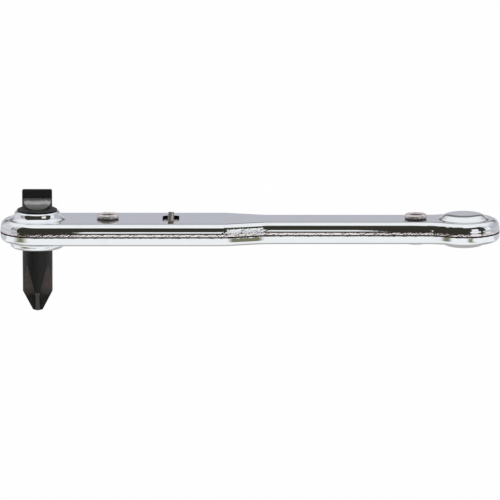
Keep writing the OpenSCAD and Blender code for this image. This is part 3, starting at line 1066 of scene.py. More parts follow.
@dataclass
class Shell:
    """One pressed half of the body. Heights are counted from the seam."""

    half: Half
    node: str
    depth: float
    crown: Crown
    shear: Shear
    outline: Outline = field(default_factory=Outline)
    seam_z: float = 3.75
    sheet: float = 0.8
    gap: float = 0.05
    rim_r: float = 0.07
    edge_r: float = 1.0
    draft: float = 0.0
    bore_r: float = 3.23
    rivet_r: float = 1.26
    rivet_x: Span = tuple(RIVET_X.values())
    torn_fade: float = 0.1
    crumple_fade: float = 0.4
    crumple_in: float = 0.1
    ring_count: int = 72
    drawn_count: int = 120

    def __post_init__(self) -> None:
        """Starts the mesh."""
        self.skin = Skin(self.seam_z, self.half)
        self.way = self.outline.loop()
        self.inner = self.depth - self.sheet

    def flank(self) -> tuple[Rows, np.ndarray, np.ndarray]:
        """The profile of the outside wall, and how ragged each row is, everywhere and at the waist."""
        raise NotImplementedError

    def head(self) -> tuple[np.ndarray, np.ndarray]:
        """Adds what is drawn out of the face at the head, and returns its borders on the face and inside."""
        raise NotImplementedError

    def extra_holes(self) -> list[tuple[np.ndarray, np.ndarray]]:
        """Adds further holes and returns their borders on the face and inside."""
        return []

    def _rim_rows(self, top: float, count: int) -> Rows:
        """The rounded lower edge and the wall above it.

        Args:
            top: Height at which the wall ends.
            count: How many steps the wall has.

        Returns:
            Rows of offset, height, and the two parts of the normal.
        """
        rim = arc((-self.rim_r, self.gap + self.rim_r), self.rim_r, 270.0, 360.0, 5)
        floor = line((-self.sheet, self.gap), (-self.rim_r, self.gap), 2)
        lean = math.tan(math.radians(self.draft)) * (top - self.gap - self.rim_r)
        return chain(floor, rim, line((0.0, self.gap + self.rim_r), (-lean, top), count))

    def _ragged(self, rows: Rows, torn: float, crumpled: float) -> tuple[Rows, np.ndarray, np.ndarray]:
        """Works out where a profile is ragged.

        Args:
            rows: The profile.
            torn: The height at which the torn edge ends.
            crumpled: The height at which the crumpled metal of the waist ends.

        Returns:
            The profile, and how ragged each row is, everywhere and at the waist.
        """
        offset, height = rows[:, 0], rows[:, 1]
        edge = np.clip((torn - height) / self.torn_fade, 0.0, 1.0) * (offset > -self.rim_r - TINY)
        waist = np.clip((crumpled - height) / self.crumple_fade, 0.0, 1.0)
        return rows, edge, waist * (offset > -self.sheet + self.crumple_in)

    def build(self, finishes: Sequence[bpy.types.Material]) -> bpy.types.Object:
        """Builds the half and puts it in the place of its CAD node.

        Args:
            finishes: The materials of the plate and of the cut edges, which are painted near black as shade.

        Returns:
            The piece.
        """
        skin, face, inner = self.skin, self.depth, self.inner
        rows, weight, waist_weight = self.flank()
        relief = self.shear.relief(self.way, rows, weight, waist_weight)
        wall = skin.sweep(self.way, rows, ShellFace.PLATE, relief)
        lining = skin.sweep(self.way, line((-self.sheet, inner), (-self.sheet, self.gap)))
        holes = [self.head(), *self.extra_holes()]
        for x in self.rivet_x:
            ring = skin.sweep(Loop.circle(x, self.ring_count), line((self.rivet_r, face), (self.rivet_r, inner)))
            holes.append((ring[0], ring[-1]))
        tail = Loop.circle(self.outline.tail_x, self.drawn_count)
        dome = skin.sweep(tail, self.crown.outside(face))
        hollow = skin.sweep(tail, self.crown.inside(inner))
        holes.append((dome[0], hollow[-1]))
        skin.fill([wall[-1], *(outer for outer, _ in holes)], 1)
        skin.fill([lining[0], *(inside for _, inside in holes)], -1)
        piece = skin.build(f"{self.node}_plated", finishes)
        dress(piece, self.node, Body.HANDLE)
        return piece


@dataclass
class UpperShell(Shell):
    """The upper half: a flared edge, the collar round the bit, and the slot of the thumb bar."""

    half: Half = Half.UPPER
    node: str = "upper_shell"
    depth: float = 2.45
    crown: Crown = field(default_factory=lambda: Crown(1.0))
    shear: Shear = field(default_factory=lambda: Shear(11, 0.0065))
    edge_r: float = 1.45
    flare_h: float = 0.5
    flare_in: float = 0.085
    flare_angle: float = 32.0
    torn_gap: float = 0.02
    crumple_gap: float = 0.75
    collar_top_r: float = 4.0
    collar_h: float = 1.6
    collar_rim_r: float = 0.6
    collar_turn: float = 80.0
    slot_x: float = SELECTOR_X
    slot_l: float = 3.3
    slot_w: float = 6.6
    slot_corner_r: float = 1.0
    slot_edge_r: float = 0.06

    def flank(self) -> tuple[Rows, np.ndarray, np.ndarray]:
        """The torn band above the seam, the step where it flares, the wall and the round edge.

        Returns:
            The profile, and how ragged each row is, everywhere and at the waist.
        """
        inset, turn = self.flare_in, math.radians(self.flare_angle)
        radius = inset / (2.0 * (1.0 - math.cos(turn)))
        top = self.flare_h + 2.0 * radius * math.sin(turn)
        rows = chain(
            self._rim_rows(self.flare_h, 9),
            arc((-radius, self.flare_h), radius, 0.0, self.flare_angle, 4),
            arc((radius - inset, top), radius, 180.0 + self.flare_angle, 180.0, 4, -1),
            line((-inset, top), (-inset, self.depth - self.edge_r), 4),
            arc((-inset - self.edge_r, self.depth - self.edge_r), self.edge_r, 0.0, 90.0, 18))
        return self._ragged(rows, self.flare_h - self.torn_gap, self.depth - self.crumple_gap)

    def head(self) -> tuple[np.ndarray, np.ndarray]:
        """Adds the drawn collar with its bore.

        Returns:
            The border on the face and the border inside.
        """
        turn, rim, top = math.radians(self.collar_turn), self.collar_rim_r, self.depth + self.collar_h
        foot = self.collar_h / (1.0 - math.cos(turn)) - rim
        reach = self.collar_top_r + (rim + foot) * math.sin(turn)
        way = Loop.circle(0.0, self.drawn_count)
        outside = self.skin.sweep(way, chain(
            arc((reach, self.depth + foot), foot, 270.0, 270.0 - self.collar_turn, 18, -1),
            arc((self.collar_top_r, top - rim), rim, 90.0 - self.collar_turn, 90.0, 14),
            line((self.collar_top_r, top), (self.bore_r, top), 2)))
        bore = self.skin.sweep(way, line((self.bore_r, top), (self.bore_r, self.inner), 2))
        return outside[0], bore[-1]

    def extra_holes(self) -> list[tuple[np.ndarray, np.ndarray]]:
        """Adds the slot of the thumb bar, with its pressed edge.

        Returns:
            Its border on the face and its border inside.
        """
        edge = self.slot_edge_r
        way = Loop.rounded(self.slot_x, self.slot_l, self.slot_w, self.slot_corner_r, 14)
        lip = self.skin.sweep(way, arc((edge, self.depth - edge), edge, 90.0, 180.0, 6))
        # The slot's cut wall takes the near-black painted shade.
        wall = self.skin.sweep(way, line((0.0, self.depth - edge), (0.0, self.inner), 2), ShellFace.CUT)
        return [(lip[0], wall[-1])]


@dataclass
class LowerShell(Shell):
    """The lower half: a plain wall, and the dish round the shank."""

    half: Half = Half.LOWER
    node: str = "lower_shell"
    depth: float = 1.95
    crown: Crown = field(default_factory=lambda: Crown(1.1))
    shear: Shear = field(default_factory=lambda: Shear(23, 0.005))
    outline: Outline = field(default_factory=lambda: Outline(waist_r=12.0))
    draft: float = 3.0
    torn_h: float = 0.22
    torn_fade: float = 0.15
    crumple_h: float = 0.35
    crumple_fade: float = 0.3
    dish_r: float = 5.45
    dish_h: float = 1.8
    dish_edge_r: float = 0.8
    dish_rise: float = 0.35
    dish_foot_r: float = 0.6

    def flank(self) -> tuple[Rows, np.ndarray, np.ndarray]:
        """The torn edge at the seam, the wall and the round edge.

        Returns:
            The profile, and how ragged each row is, everywhere and at the waist.
        """
        lean = math.radians(self.draft)
        wall = self._rim_rows(self.depth - self.edge_r * (1.0 - math.sin(lean)), 8)
        middle = (wall[-1, 0] - self.edge_r * math.cos(lean), self.depth - self.edge_r)
        rows = chain(wall, arc(middle, self.edge_r, self.draft, 90.0, 16))
        return self._ragged(rows, self.torn_h, self.crumple_h)

    def head(self) -> tuple[np.ndarray, np.ndarray]:
        """Adds the drawn dish with its bore and the hollow for the gear.

        Returns:
            The border on the face and the border inside.
        """
        edge, foot, bottom = self.dish_edge_r, self.dish_foot_r, self.depth + self.dish_h
        slope = math.atan(self.dish_rise / (self.dish_r - edge - self.bore_r))
        reach = self.dish_r - edge + edge * math.sin(slope)
        centre = bottom - edge * math.cos(slope) - math.tan(slope) * (reach - self.bore_r)
        end = (reach, centre + edge * math.cos(slope))
        way = Loop.circle(0.0, self.drawn_count)
        outside = self.skin.sweep(way, chain(
            arc((self.dish_r + foot, self.depth + foot), foot, 270.0, 180.0, 8, -1),
            line((self.dish_r, self.depth + foot), (self.dish_r, centre), 3),
            arc((self.dish_r - edge, centre), edge, 0.0, 90.0 - math.degrees(slope), 10),
            line(end, (self.bore_r, bottom), 3)))
        floor, wall_r = bottom - self.dish_rise - self.sheet, self.dish_r - self.sheet
        self.skin.sweep(way, line((self.bore_r, bottom), (self.bore_r, floor), 2))
        self.skin.sweep(way, line((self.bore_r, floor), (wall_r, floor), 1))
        hollow = self.skin.sweep(way, line((wall_r, floor), (wall_r, self.inner), 1))
        return outside[0], hollow[-1]


@dataclass
class Rivet:
    """A tubular rivet: a rolled upper head with a dish, a shank, and a flat lower head."""

    node: str
    x: float
    shank_r: float = 1.25
    head_r: float = 2.25
    low_z: float = 1.8
    high_z: float = 6.2
    low_head_h: float = 0.6
    low_edge_r: float = 0.35
    high_head_h: float = 0.95
    roll_r: float = 0.5
    roll_start: float = -50.0
    roll_end: float = 140.0
    dish_depth: float = 0.5
    count: int = 96
    foot_r: float = 2.0

    def _rolled_head(self) -> Rows:
        """The profile of the upper head, from its foot over the roll into the dish.

        Returns:
            Rows of offset, height, and the two parts of the normal.
        """
        top = self.high_z + self.high_head_h
        roll = (self.head_r - self.roll_r, top - self.roll_r)
        low, turn = math.radians(self.roll_start), math.radians(self.roll_end)
        foot = (roll[0] + self.roll_r * math.cos(low), roll[1] + self.roll_r * math.sin(low))
        meet = (roll[0] + self.roll_r * math.cos(turn), roll[1] + self.roll_r * math.sin(turn))
        floor = top - self.dish_depth
        radius = (meet[1] - floor) / (1.0 - math.sin(turn))
        middle = (meet[0] + radius * math.cos(turn), floor + radius)
        return chain(
            line((self.foot_r, self.high_z), foot),
            arc(roll, self.roll_r, self.roll_start, self.roll_end, 26),
            arc(middle, radius, 180.0 + self.roll_end, 270.0, 8, -1),
            line((middle[0], floor), (0.0, floor), 2))

    def build(self, finish: bpy.types.Material) -> bpy.types.Object:
        """Builds the rivet and puts it in the place of its CAD node.

        Args:
            finish: The material.

        Returns:
            The piece.
        """
        skin, way = Skin(), Loop.circle(self.x, self.count)
        foot, edge = self.low_z - self.low_head_h, self.low_edge_r
        skin.sweep(way, chain(
            line((0.0, foot), (self.head_r - edge, foot), 2),
            arc((self.head_r - edge, foot + edge), edge, 270.0, 360.0, 8),
            line((self.head_r, foot + edge), (self.head_r, self.low_z))))
        skin.sweep(way, line((self.head_r, self.low_z), (self.shank_r, self.low_z)))
        skin.sweep(way, line((self.shank_r, self.low_z), (self.shank_r, self.high_z), 2))
        skin.sweep(way, line((self.shank_r, self.high_z), (self.foot_r, self.high_z)))
        skin.sweep(way, self._rolled_head())
        piece = skin.build(f"{self.node}_rolled", [finish])
        dress(piece, self.node, Body.HANDLE)
        return piece


@dataclass
class DriverBit:
    """The double-ended bit: hollow ground blade above, flange, journal, and cross point below."""

    bar_r: float = 3.0
    journal_r: float = 3.18
    groove_r: float = 2.78
    groove_z: Span = (1.29, 1.76)
    flange_r: float = 4.0
    flange_z: float = 7.85
    flange_t: float = 0.25
    flange_cone_h: float = 0.45
    blade_z: float = 12.1
    blade_half: float = 0.5
    blade_tip_l: float = 1.65
    grind_l: float = 1.95
    grind_r: float = 4.0
    corner_r: float = 0.3
    corner_turn: float = 76.0
    edge_r: float = 0.05
    shank_l: float = 8.5
    shank_top_z: float = -0.4
    cone_l: float = 3.8
    point_r: float = 1.0
    point_slim: float = 0.03
    nub_h: float = 0.3
    flange_break: float = 0.05
    cone_fillet: Span = (0.1, 0.05)
    cone_gap: float = 0.02
    flute_x: float = 2.9
    flute_end_z: float = -9.1
    flute_core_r: float = 0.57
    flute_bow: float = 0.86
    blend: float = 0.1
    blend_share: float = 0.25
    cut_depth: float = 0.04
    crisp: float = 32.0
    column_step: float = 1.5
    edge_columns: Band = (6.0, 13.01, 0.35)
    hollow_rows: int = 34
    hollow_spacing: float = 1.8

    OUT_OF_REACH = 99.0
    LEAST_SINE = 1e-4

    def _angles(self) -> np.ndarray:
        """Spaces the columns, closer where the blade has its edges.

        Returns:
            Their angles, in radians.
        """
        near = np.arange(*self.edge_columns)
        fine = np.concatenate([side + near * way for side in (0.0, 180.0, 360.0) for way in (-1.0, 1.0)])
        turns = np.concatenate([np.arange(0.0, 360.0, self.column_step), fine[(fine > 0.0) & (fine < 360.0)]])
        return np.radians(np.unique(np.round(turns, 3)))

    def _turned(self) -> np.ndarray:
        """The turned bar, before the blade and the flutes are cut.

        Returns:
            Rows of height and radius, from the point to the blade's end.
        """
        shoulder = self.flange_z + self.flange_t
        cone_z, slim = shoulder + self.flange_cone_h, self.bar_r - self.point_slim
        corner = arc((self.bar_r - self.corner_r, self.blade_z - self.corner_r), self.corner_r,
                     0.0, self.corner_turn, 7)
        grind_top = self.blade_z - self.blade_tip_l
        wheel = np.linspace(0.0, 1.0, self.hollow_rows)
        hollow = grind_top - self.grind_l * (1.0 - wheel ** self.hollow_spacing)
        parallel = np.linspace(grind_top, self.blade_z - self.corner_r, 8)[1:-1]
        point_z = -self.shank_l - self.cone_l
        return np.vstack([
            np.linspace((point_z - self.nub_h, 0.0), (point_z, self.point_r), 5),
            np.linspace((point_z, self.point_r), (-self.shank_l, slim), 30),
            np.linspace((-self.shank_l, slim), (-self.flute_x, self.bar_r), 34),
            np.array([(self.shank_top_z, self.bar_r), (0.0, self.bar_r), (0.0, self.journal_r),
                      (self.groove_z[0], self.journal_r), (self.groove_z[0], self.groove_r),
                      (self.groove_z[1], self.groove_r), (self.groove_z[1], self.journal_r),
                      (self.flange_z, self.journal_r), (self.flange_z, self.flange_r),
                      (shoulder - self.flange_break, self.flange_r),
                      (shoulder, self.flange_r - self.flange_break),
                      (cone_z - self.cone_fillet[1], self.bar_r + self.cone_fillet[0]),
                      (cone_z - self.cone_gap, self.bar_r)]),
            *(np.stack([height, np.full(len(height), self.bar_r)], axis=1) for height in (hollow, parallel)),
            corner[:, 1::-1],
            np.array([(self.blade_z, self.bar_r - self.corner_r)])])

    def _blade_half(self, height: np.ndarray) -> np.ndarray:
        """Works out the blade's thickness.

        Args:
            height: Heights at which it is wanted.

        Returns:
            Half the thickness there, or a large number below the grinding.
        """
        top = self.blade_z - self.blade_tip_l
        chord = np.array((self.bar_r - self.blade_half, -self.grind_l))
        length = np.hypot(*chord)
        reach = math.sqrt(self.grind_r ** 2 - (length / 2.0) ** 2)
        wheel_y = self.blade_half + chord[0] / 2.0 - reach * chord[1] / length
        wheel_z = top + chord[1] / 2.0 + reach * chord[0] / length
        hollow = wheel_y - np.sqrt(np.maximum(self.grind_r ** 2 - (height - wheel_z) ** 2, 0.0))
        worn = np.clip((height - self.blade_z + self.edge_r) / self.edge_r, 0.0, 1.0)
        parallel = self.blade_half - self.edge_r * (1.0 - np.sqrt(1.0 - worn ** 2))
        return np.where(height >= top, parallel,
                        np.where(height > top - self.grind_l, hollow, self.OUT_OF_REACH))

    def _flute_core(self, height: np.ndarray) -> np.ndarray:
        """Works out how deep the flutes go.

        Args:
            height: Heights at which it is wanted.

        Returns:
            The distance from the axis to their bottom, or a large number above them.
        """
        run = np.clip((-self.flute_x - height) / (-self.flute_x - self.flute_end_z), 0.0, 1.0)
        core = self.bar_r + (self.flute_core_r - self.bar_r) * run ** self.flute_bow
        return np.where(height < -self.flute_x, core, self.OUT_OF_REACH)

    def _blended(self, first: np.ndarray, second: np.ndarray) -> np.ndarray:
        """Takes the smaller of two radii, with a narrow round edge between them.

        Args:
            first: One radius at each point.
            second: The other radius at each point.

        Returns:
            The blended radius.
        """
        width = np.minimum(self.blend, self.blend_share * np.minimum(first, second) + TINY)
        share = np.clip(0.5 + 0.5 * (second - first) / width, 0.0, 1.0)
        return second * (1.0 - share) + first * share - width * share * (1.0 - share)

    def build(self, finishes: Sequence[bpy.types.Material]) -> bpy.types.Object:
        """Builds the bit and puts it in the place of its CAD node.

        Args:
            finishes: The materials of the bar, of the ground hollow, of the flutes and of the point.

        Returns:
            The piece.
        """
        angle, rows = self._angles(), self._turned()
        height, turned = rows[:, 0, None], rows[:, 1, None]
        flat = self._blade_half(height) / np.maximum(np.abs(np.sin(angle)), self.LEAST_SINE)[None, :]
        lean = np.mod(angle, math.pi / 2.0) - math.pi / 4.0
        open_way = np.maximum(np.cos(lean) - np.abs(np.sin(lean)), self.LEAST_SINE)
        groove = self._flute_core(height) / open_way[None, :]
        radius = self._blended(self._blended(np.broadcast_to(turned, flat.shape), flat), groove)
        radius[0] = 0.0
        points = np.stack([radius * np.cos(angle), radius * np.sin(angle),
                           np.broadcast_to(height, radius.shape)], axis=-1)
        cap = np.zeros((1, len(angle), 3))
        cap[..., 2] = self.blade_z
        points = np.concatenate([points, cap])
        cut = radius[:-1] < turned[:-1] - self.cut_depth
        middle = (rows[:-1, 0, None] + rows[1:, 0, None]) / 2.0
        top = self.blade_z - self.blade_tip_l
        kinds = np.where(middle < -self.shank_l, BitFace.POINT, BitFace.BAR)
        kinds = np.where(cut & (middle < -self.flute_x), BitFace.FLUTE, kinds)
        kinds = np.where(cut & (middle > top - self.grind_l) & (middle < top), BitFace.HOLLOW, kinds)
        kinds = np.vstack([kinds, np.zeros((1, len(angle)), dtype=int)])
        outward = points - np.array((0.0, 0.0, 1.0)) * points[..., 2:]
        outward[-1] = (0.0, 0.0, 1.0)
        skin = Skin()
        skin.lattice(points, outward, kinds)
        piece = skin.build("driver_bit_blacked", finishes, self.crisp)
        dress(piece, "driver_bit", Body.DRIVE)
        return piece


@dataclass
class ThumbBar:
    """The bar across the slot: fine ribs along its top, and a neck down to the slide."""

    x: float = SELECTOR_X
    length: float = 1.16
    width: float = 9.0
    low_z: float = 6.25
    high_z: float = 6.75
    corner_r: float = 0.29
    edge_r: float = 0.08
    rib_h: float = 0.09
    rib_short: float = 0.4
    rib_edge_r: float = 0.05
    rib_end: float = 0.49
    ribs: Sequence[tuple[float, float, BarFace]] = (
        (-0.36, 0.16, BarFace.TOP), (-0.1, 0.16, BarFace.TOP), (0.24, 0.22, BarFace.RIB))
    neck_l: float = 1.1
    neck_w: float = 3.6
    neck_z: float = 4.55
    neck_corner_r: float = 0.1

    def build(self, finishes: Sequence[bpy.types.Material]) -> bpy.types.Object:
        """Builds the bar and puts it in the place of its CAD node.

        Args:
            finishes: The materials of the bar, of its rubbed rib and of its sides, whose lighter copy of the bar's
                finish is painted light.

        Returns:
            The piece.
        """
        skin, edge, top = Skin(), self.edge_r, self.high_z - self.rib_h
        plate = Loop.rounded(self.x, self.length, self.width, self.corner_r, 8)
        wall = skin.sweep(plate, chain(
            arc((-edge, self.low_z + edge), edge, 270.0, 360.0, 5),
            line((0.0, self.low_z + edge), (0.0, top - edge)),
            arc((-edge, top - edge), edge, 0.0, 90.0, 5)), BarFace.SIDE)
        feet = []
        for shift, breadth, finish in self.ribs:
            rib = Loop.rounded(self.x + shift, breadth, self.width - self.rib_short, self.rib_end * breadth, 5)
            rows = chain(line((0.0, top), (0.0, self.high_z - self.rib_edge_r)),
                         arc((-self.rib_edge_r, self.high_z - self.rib_edge_r), self.rib_edge_r, 0.0, 90.0, 4))
            ridge = skin.sweep(rib, rows, finish)
            skin.fill([ridge[-1]], 1, finish)
            feet.append(ridge[0])
        neck = Loop.rounded(self.x, self.neck_l, self.neck_w, self.neck_corner_r, 3)
        post = skin.sweep(neck, line((0.0, self.neck_z), (0.0, self.low_z)))
        skin.fill([post[0]], -1)
        skin.fill([wall[-1], *feet], 1)
        skin.fill([wall[0], post[-1]], -1)
        piece = skin.build("selector_bar_ribbed", finishes)
        dress(piece, "selector_bar", Body.SELECTOR)
        return piece


@dataclass
class RatchetWorks:
    """The CAD pieces inside the body, which keep their meshes and get their finishes."""

    hardened: Sequence[str] = ("front_sleeve", "rear_sleeve", "drive_key", "ratchet_gear", "pawl")
    ground: Sequence[str] = ("selector_plate",)
    sprung: Sequence[str] = ("retaining_ring", "pawl_spring", "selector_spring")
    brass: Sequence[str] = ("thrust_washer",)

    def dress(self, hardened: bpy.types.Material, ground: bpy.types.Material, sprung: bpy.types.Material,
              brass: bpy.types.Material) -> None:
        """Gives each node its material.

        Args:
            hardened: For the hard pieces.
            ground: For the slide under the slot.
            sprung: For the springs and the ring.
            brass: For the washer.
        """
        for names, finish in ((self.hardened, hardened), (self.ground, ground), (self.sprung, sprung),
                              (self.brass, brass)):
            for name in names:
                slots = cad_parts[name].data.materials
                slots.clear()
                slots.append(finish)
                LOG.info("%s: finished in %s", name, finish.name)


@dataclass(frozen=True)
class Card:
    """A sheet of paper in the studio, which the metal mirrors and the lens doesn't see.

    Attributes:
        name: Its name.
        tone: Its colour.
        corners: Its corners, in millimetres.
        fade: Width of the border that fades out, or 0 where the border is sharp.
    """

    name: str
    tone: Colour
    corners: Sequence[Point]
    fade: float = 0.0

    @classmethod
    def lying(cls, name: str, tone: Colour, east: Span, north: Span, height: float = -74.0,
              fade: float = 0.0) -> "Card":
        """A rectangle that lies just above the floor.

        Args:
            name: Its name.
            tone: Its colour.
            east: Its ends in X.
            north: Its ends in Y.
            height: Its place in Z.
            fade: Width of its fading border.

        Returns:
            The card.
        """
        ends = ((0, 0), (1, 0), (1, 1), (0, 1))
        return cls(name, tone, [(east[x], north[y], height) for x, y in ends], fade)

    @classmethod
    def standing(cls, name: str, tone: Colour, start: Span, end: Span, heights: Span = (-75.0, 60.0),
                 fade: float = 0.0) -> "Card":
        """A rectangle that stands on the floor.

        Args:
            name: Its name.
            tone: Its colour.
            start: X and Y of one end.
            end: X and Y of the other end.
            heights: Its lower and upper edge.
            fade: Width of its fading border.

        Returns:
            The card.
        """
        low, high = heights
        return cls(name, tone, [(*start, low), (*end, low), (*end, high), (*start, high)], fade)

    @classmethod
    def hung(cls, name: str, tone: Colour, outline: Sequence[Span], north: float = -44.0,
             fade: float = 0.0) -> "Card":
        """A flag that hangs in front of the tool.

        Args:
            name: Its name.
            tone: Its colour.
            outline: X and Z of its corners.
            north: Its place in Y.
            fade: Width of its fading border.

        Returns:
            The card.
        """
        return cls(name, tone, [(x, north, z) for x, z in outline], fade)

    def put_up(self) -> None:
        """Makes the sheet and its paper."""
        mesh = bpy.data.meshes.new(self.name)
        mesh.from_pydata([[v * MM for v in corner] for corner in self.corners], [], [range(len(self.corners))])
        low, high = np.min(self.corners, axis=0), np.max(self.corners, axis=0)
        spans = [(axis, low[k], high[k], self.fade) for k, axis in enumerate("XY") if self.fade and high[k] > low[k]]
        mesh.materials.append(StudioPaper(f"{self.name}_paper", self.tone, spans).make())
        card = bpy.data.objects.new(self.name, mesh)
        card.visible_camera = False
        bpy.context.collection.objects.link(card)


@dataclass(frozen=True)
class SoftBoxes:
    """The soft boxes and dark flags round the tool, as a world that goes by direction.

    Heights are degrees above the level, and sides are degrees from the front, above 0 on the right.
    A span says where something starts and where it is full, and a band has two edges and their softness.
    """

    haze: Colour = (0.527, 0.525, 0.572)
    shade: Colour = SHADE
    glow: Colour = (1.06, 1.06, 1.07)
    grey: Colour = (0.73, 0.72, 0.73)
    rim: Colour = (0.10, 0.085, 0.08)
    front: Span = (78.0, 102.0)
    roof: Span = (20.0, 57.0)
    roof_soft: float = 1.5
    roof_climb: float = 26.0
    aside: Band = (98.0, 150.0, 10.0)
    aside_spread: float = 30.0
    back_line: Span = (13.5, 15.5)
    back_line_top: Span = (23.0, 26.0)
    back_line_sides: Span = (140.0, 165.0)
    back_line_share: float = 0.8
    straight_back: Span = (167.0, 174.0)
    straight_back_rise: float = 17.0
    flag: Band = (-66.0, 74.0, 2.0)
    streaks: Sequence[Band] = ((-72.0, -69.0, 0.8), (-79.0, -75.5, 0.8), (-88.0, -83.0, 0.8))
    streak_top: Span = (18.0, 40.0)
    boards: Sequence[Band] = ((25.0, 47.0, 1.5), (74.0, 96.0, 2.0))
    board_top: Span = (28.0, 32.0)
    left: Band = (-140.0, -66.0, 3.0)
    forward: Span = (-0.35, 0.5)
    soft_dim: float = 0.9
    low_dim: float = 0.62

    def make(self) -> None:
        """Sets up the world."""
        world = bpy.data.worlds.new("studio")
        bpy.context.scene.world = world
        world.use_nodes = True
        graph = Graph(world.node_tree)
        way = graph.node("ShaderNodeTexCoord").out("Generated")
        east = graph.node("ShaderNodeSeparateXYZ", {}, {"Vector": way})
        south, height = -east.out("Y"), east.out("Z").arc_sine()
        side = east.bearing(south)
        turned = abs(side)
        front = 1.0 - turned.step(*self.front)
        edge = self.roof[0] + front * (self.roof[1] - self.roof[0])
        spread = turned.band(*self.aside) * self.aside_spread
        roof = height.step(edge - self.roof_soft, edge + self.roof_soft + spread)
        climb = height.step(edge, edge + self.roof_climb)
        rise = turned.step(*self.straight_back) * self.straight_back_rise
        back_line = height.step(*self.back_line) * (1.0 - height.step(*(top + rise for top in self.back_line_top)))
        back_line = back_line * turned.step(*self.back_line_sides)
        flag = side.band(*self.flag)
        for streak in self.streaks:
            flag = flag.highest(side.band(*streak) * (1.0 - height.step(*self.streak_top)))
        right, far_right = (side.band(*board) for board in self.boards)
        board = right.highest(far_right) * (1.0 - height.step(*self.board_top))
        soft = dimmed(self.glow, self.soft_dim)
        tone = graph.mix(side.band(*self.left), self.haze, self.grey)
        tone = graph.mix(flag, tone, self.shade)
        tone = graph.mix(board, tone, soft)
        lit = graph.mix(south.step(*self.forward), soft, self.glow)
        sky = graph.mix(climb * (1.0 - front) + front, dimmed(self.glow, self.low_dim), lit)
        tone = graph.mix(roof, tone, sky)
        tone = graph.mix(back_line * self.back_line_share, tone, self.rim)
        light = graph.node("ShaderNodeBackground", {}, {"Color": tone, "Strength": 1.0})
        graph.node("ShaderNodeOutputWorld", {}, {"Surface": light})


@dataclass
class Studio:
    """White floor, cards and the camera of the photograph."""

    floor_z: float = -75.0
    floor_r: float = 3000.0
    floor_front: float = -700.0
    floor_count: int = 96
    aim: Point = (42.5, 0.0, -0.24)
    tilt: float = 11.25
    distance: float = 1200.0
    view_width: float = 100.0
    sensor: float = 36.0
    clip: Span = (0.05, 20.0)

    def cards(self) -> None:
        """Sets up the papers and flags that shape the reflections."""
        for card in (
                Card.standing("far_flag", SHADE, start=(-10.0, -300.0), end=(-330.0, -150.0)),
                Card.hung("head_flag", SHADE, fade=2.0, outline=(
                    (-14.0, -3.7), (0.0, -3.6), (9.0, -2.3), (9.0, 2.0), (-14.0, 2.0))),
                Card.hung("tail_flag", SHADE, fade=2.0, outline=(
                    (64.0, -2.3), (74.0, -3.7), (101.0, -3.7), (101.0, 2.0), (64.0, 2.0))),
                Card.hung("grip_flag", (0.09, 0.088, 0.05), outline=(
                    (44.0, 55.0), (84.0, 55.0), (78.0, 100.0), (44.0, 100.0))),
                Card.standing("side_flag", SHADE, start=(330.0, -182.0), end=(361.0, -128.0), fade=8.0),
                Card.lying("left_olive", (0.24, 0.23, 0.15), east=(-290.0, -60.0), north=(-240.0, -10.0), fade=70.0),
                Card.lying("right_olive", (0.22, 0.21, 0.13), east=(112.0, 234.0), north=(-290.0, -90.0), fade=56.0),
                # Painted shadow: a grey sheet just above the floor under the tool stands for the tool's shadow in the
                # metal's reflections.
                Card.lying("painted_shadow_sheet", (0.50, 0.47, 0.45), east=(-90.0, 175.0), north=(-10.0, 112.0)),
                Card.lying("right_sheet", (0.575, 0.57, 0.60), east=(440.0, 1500.0), north=(-1500.0, 1500.0)),
                Card.lying("left_sheet", (0.61, 0.605, 0.645), east=(-1500.0, -340.0), north=(-1500.0, 1500.0)),
                Card.lying("back_sheet", (0.64, 0.645, 0.69), east=(-340.0, 440.0), north=(112.0, 1500.0),
                           height=-74.5)):
            card.put_up()

    def floor(self, finish: bpy.types.Material) -> None:
        """Lays the floor.

        Args:
            finish: The floor's material.
        """
        turn = np.arange(self.floor_count) * (2.0 * math.pi / self.floor_count)
        ring = np.stack([self.aim[0] + self.floor_r * np.cos(turn),
                         self.floor_front + self.floor_r * (1.0 + np.sin(turn)),
                         np.full(self.floor_count, self.floor_z)], axis=1)
        skin = Skin()
        skin.fill([ring], 1)
        disc = skin.build("floor", [finish])

    def camera(self) -> None:
        """Sets up the long lens of the photograph."""
        lens = bpy.data.cameras.new("lens")
        lens.sensor_width = self.sensor
        lens.lens = self.sensor * self.distance / self.view_width
        lens.clip_start, lens.clip_end = self.clip
        turn = math.radians(self.tilt)
        back = Vector((0.0, -math.cos(turn), math.sin(turn)))
        camera = bpy.data.objects.new("camera", lens)
        camera.location = (Vector(self.aim) + back * self.distance) * MM
        camera.rotation_euler = (-back).to_track_quat("-Z", "Y").to_euler()
        bpy.context.collection.objects.link(camera)
        bpy.context.scene.camera = camera
        bpy.context.scene.view_settings.view_transform = "Standard"


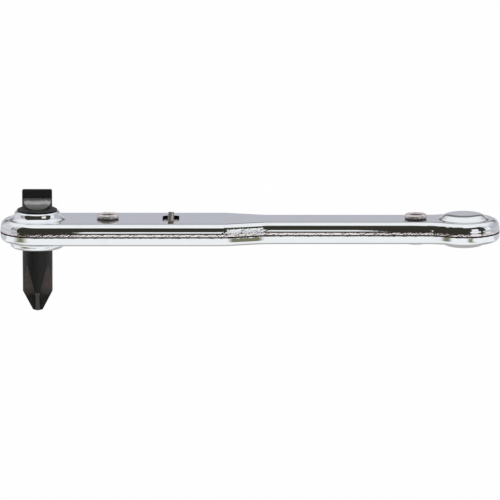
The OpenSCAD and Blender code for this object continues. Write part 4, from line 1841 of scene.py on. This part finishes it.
def main() -> None:
    """Builds the studio and the pieces."""
    logging.basicConfig(level=logging.INFO, format="%(message)s")
    studio = Studio()
    studio.camera()
    SoftBoxes().make()
    studio.floor(PaleFloor().make())
    studio.cards()

    chrome = ChromePlate().make()
    # Painted shade: the cut wall of the thumb bar's slot is near black, standing in for the shade inside the slot.
    slot_wall_shade = BlackOxide("painted_shade_cut_edge", (0.012, 0.011, 0.010), (0.05, 0.045, 0.04), gloss=0.5, metal=0.4).make()
    oxide = BlackOxide("black_bar", (0.016, 0.017, 0.016), (0.05, 0.05, 0.048), gloss=0.42, metal=0.0).make()
    # The light band from 9.35 to 9.9 mm high on the ground hollow is a painted highlight.
    ground = BlackOxide("ground_hollow", (0.20, 0.20, 0.20), (0.40, 0.40, 0.40), gloss=0.34, metal=0.6,
                        bands=((9.35, 9.9, 0.2, (0.55, 0.55, 0.56)),)).make()
    milled = BlackOxide("milled_flute", (0.10, 0.083, 0.076), (0.22, 0.19, 0.175), gloss=0.42, metal=0.3,
                        bands=((-20.0, -8.6, 1.4, (0.022, 0.022, 0.021)),)).make()
    point = BlackOxide("rubbed_point", (0.07, 0.07, 0.07), (0.17, 0.17, 0.17), gloss=0.36, metal=0.4).make()
    along_y, along_x = (3000.0, 160.0, 3000.0), (160.0, 3000.0, 3000.0)
    satin = TurnedSteel("satin_bar", (0.20, 0.172, 0.158), (0.12, 0.105, 0.095), gloss=0.42,
                        marks=along_y, metal=0.45).make()
    rubbed = TurnedSteel("rubbed_rib", (1.0, 0.93, 0.91), (0.8, 0.74, 0.72), gloss=0.25, marks=along_y).make()
    # Painted light: the bar's sides get a lighter, less metallic copy of the bar's brown, standing in for light that
    # the front wall doesn't get.
    lit_bar_sides = TurnedSteel("painted_light_side", (0.52, 0.46, 0.42), (0.36, 0.31, 0.28), gloss=0.5,
                        marks=(900.0, 900.0, 3000.0), metal=0.1).make()
    slide = TurnedSteel("ground_slide", (0.98, 0.92, 0.90), (0.88, 0.81, 0.79), gloss=0.5,
                        marks=along_x, metal=0.15).make()
    hardened = TurnedSteel("oiled_hard_steel", (0.16, 0.155, 0.15), (0.07, 0.065, 0.06), gloss=0.3).make()
    sprung = TurnedSteel("blued_spring", (0.10, 0.12, 0.17), (0.05, 0.055, 0.07), gloss=0.25).make()
    brass = TurnedSteel("plain_brass", (0.72, 0.53, 0.23), (0.48, 0.33, 0.13), gloss=0.25).make()

    UpperShell().build([chrome, slot_wall_shade])
    LowerShell().build([chrome, slot_wall_shade])
    for node, x in RIVET_X.items():
        Rivet(node, x).build(RolledRivet(f"{node}_plate", x).make())
    DriverBit().build([oxide, ground, milled, point])
    ThumbBar().build([satin, rubbed, lit_bar_sides])
    RatchetWorks().dress(hardened, slide, sprung, brass)


if __name__ == "__main__":
    main()
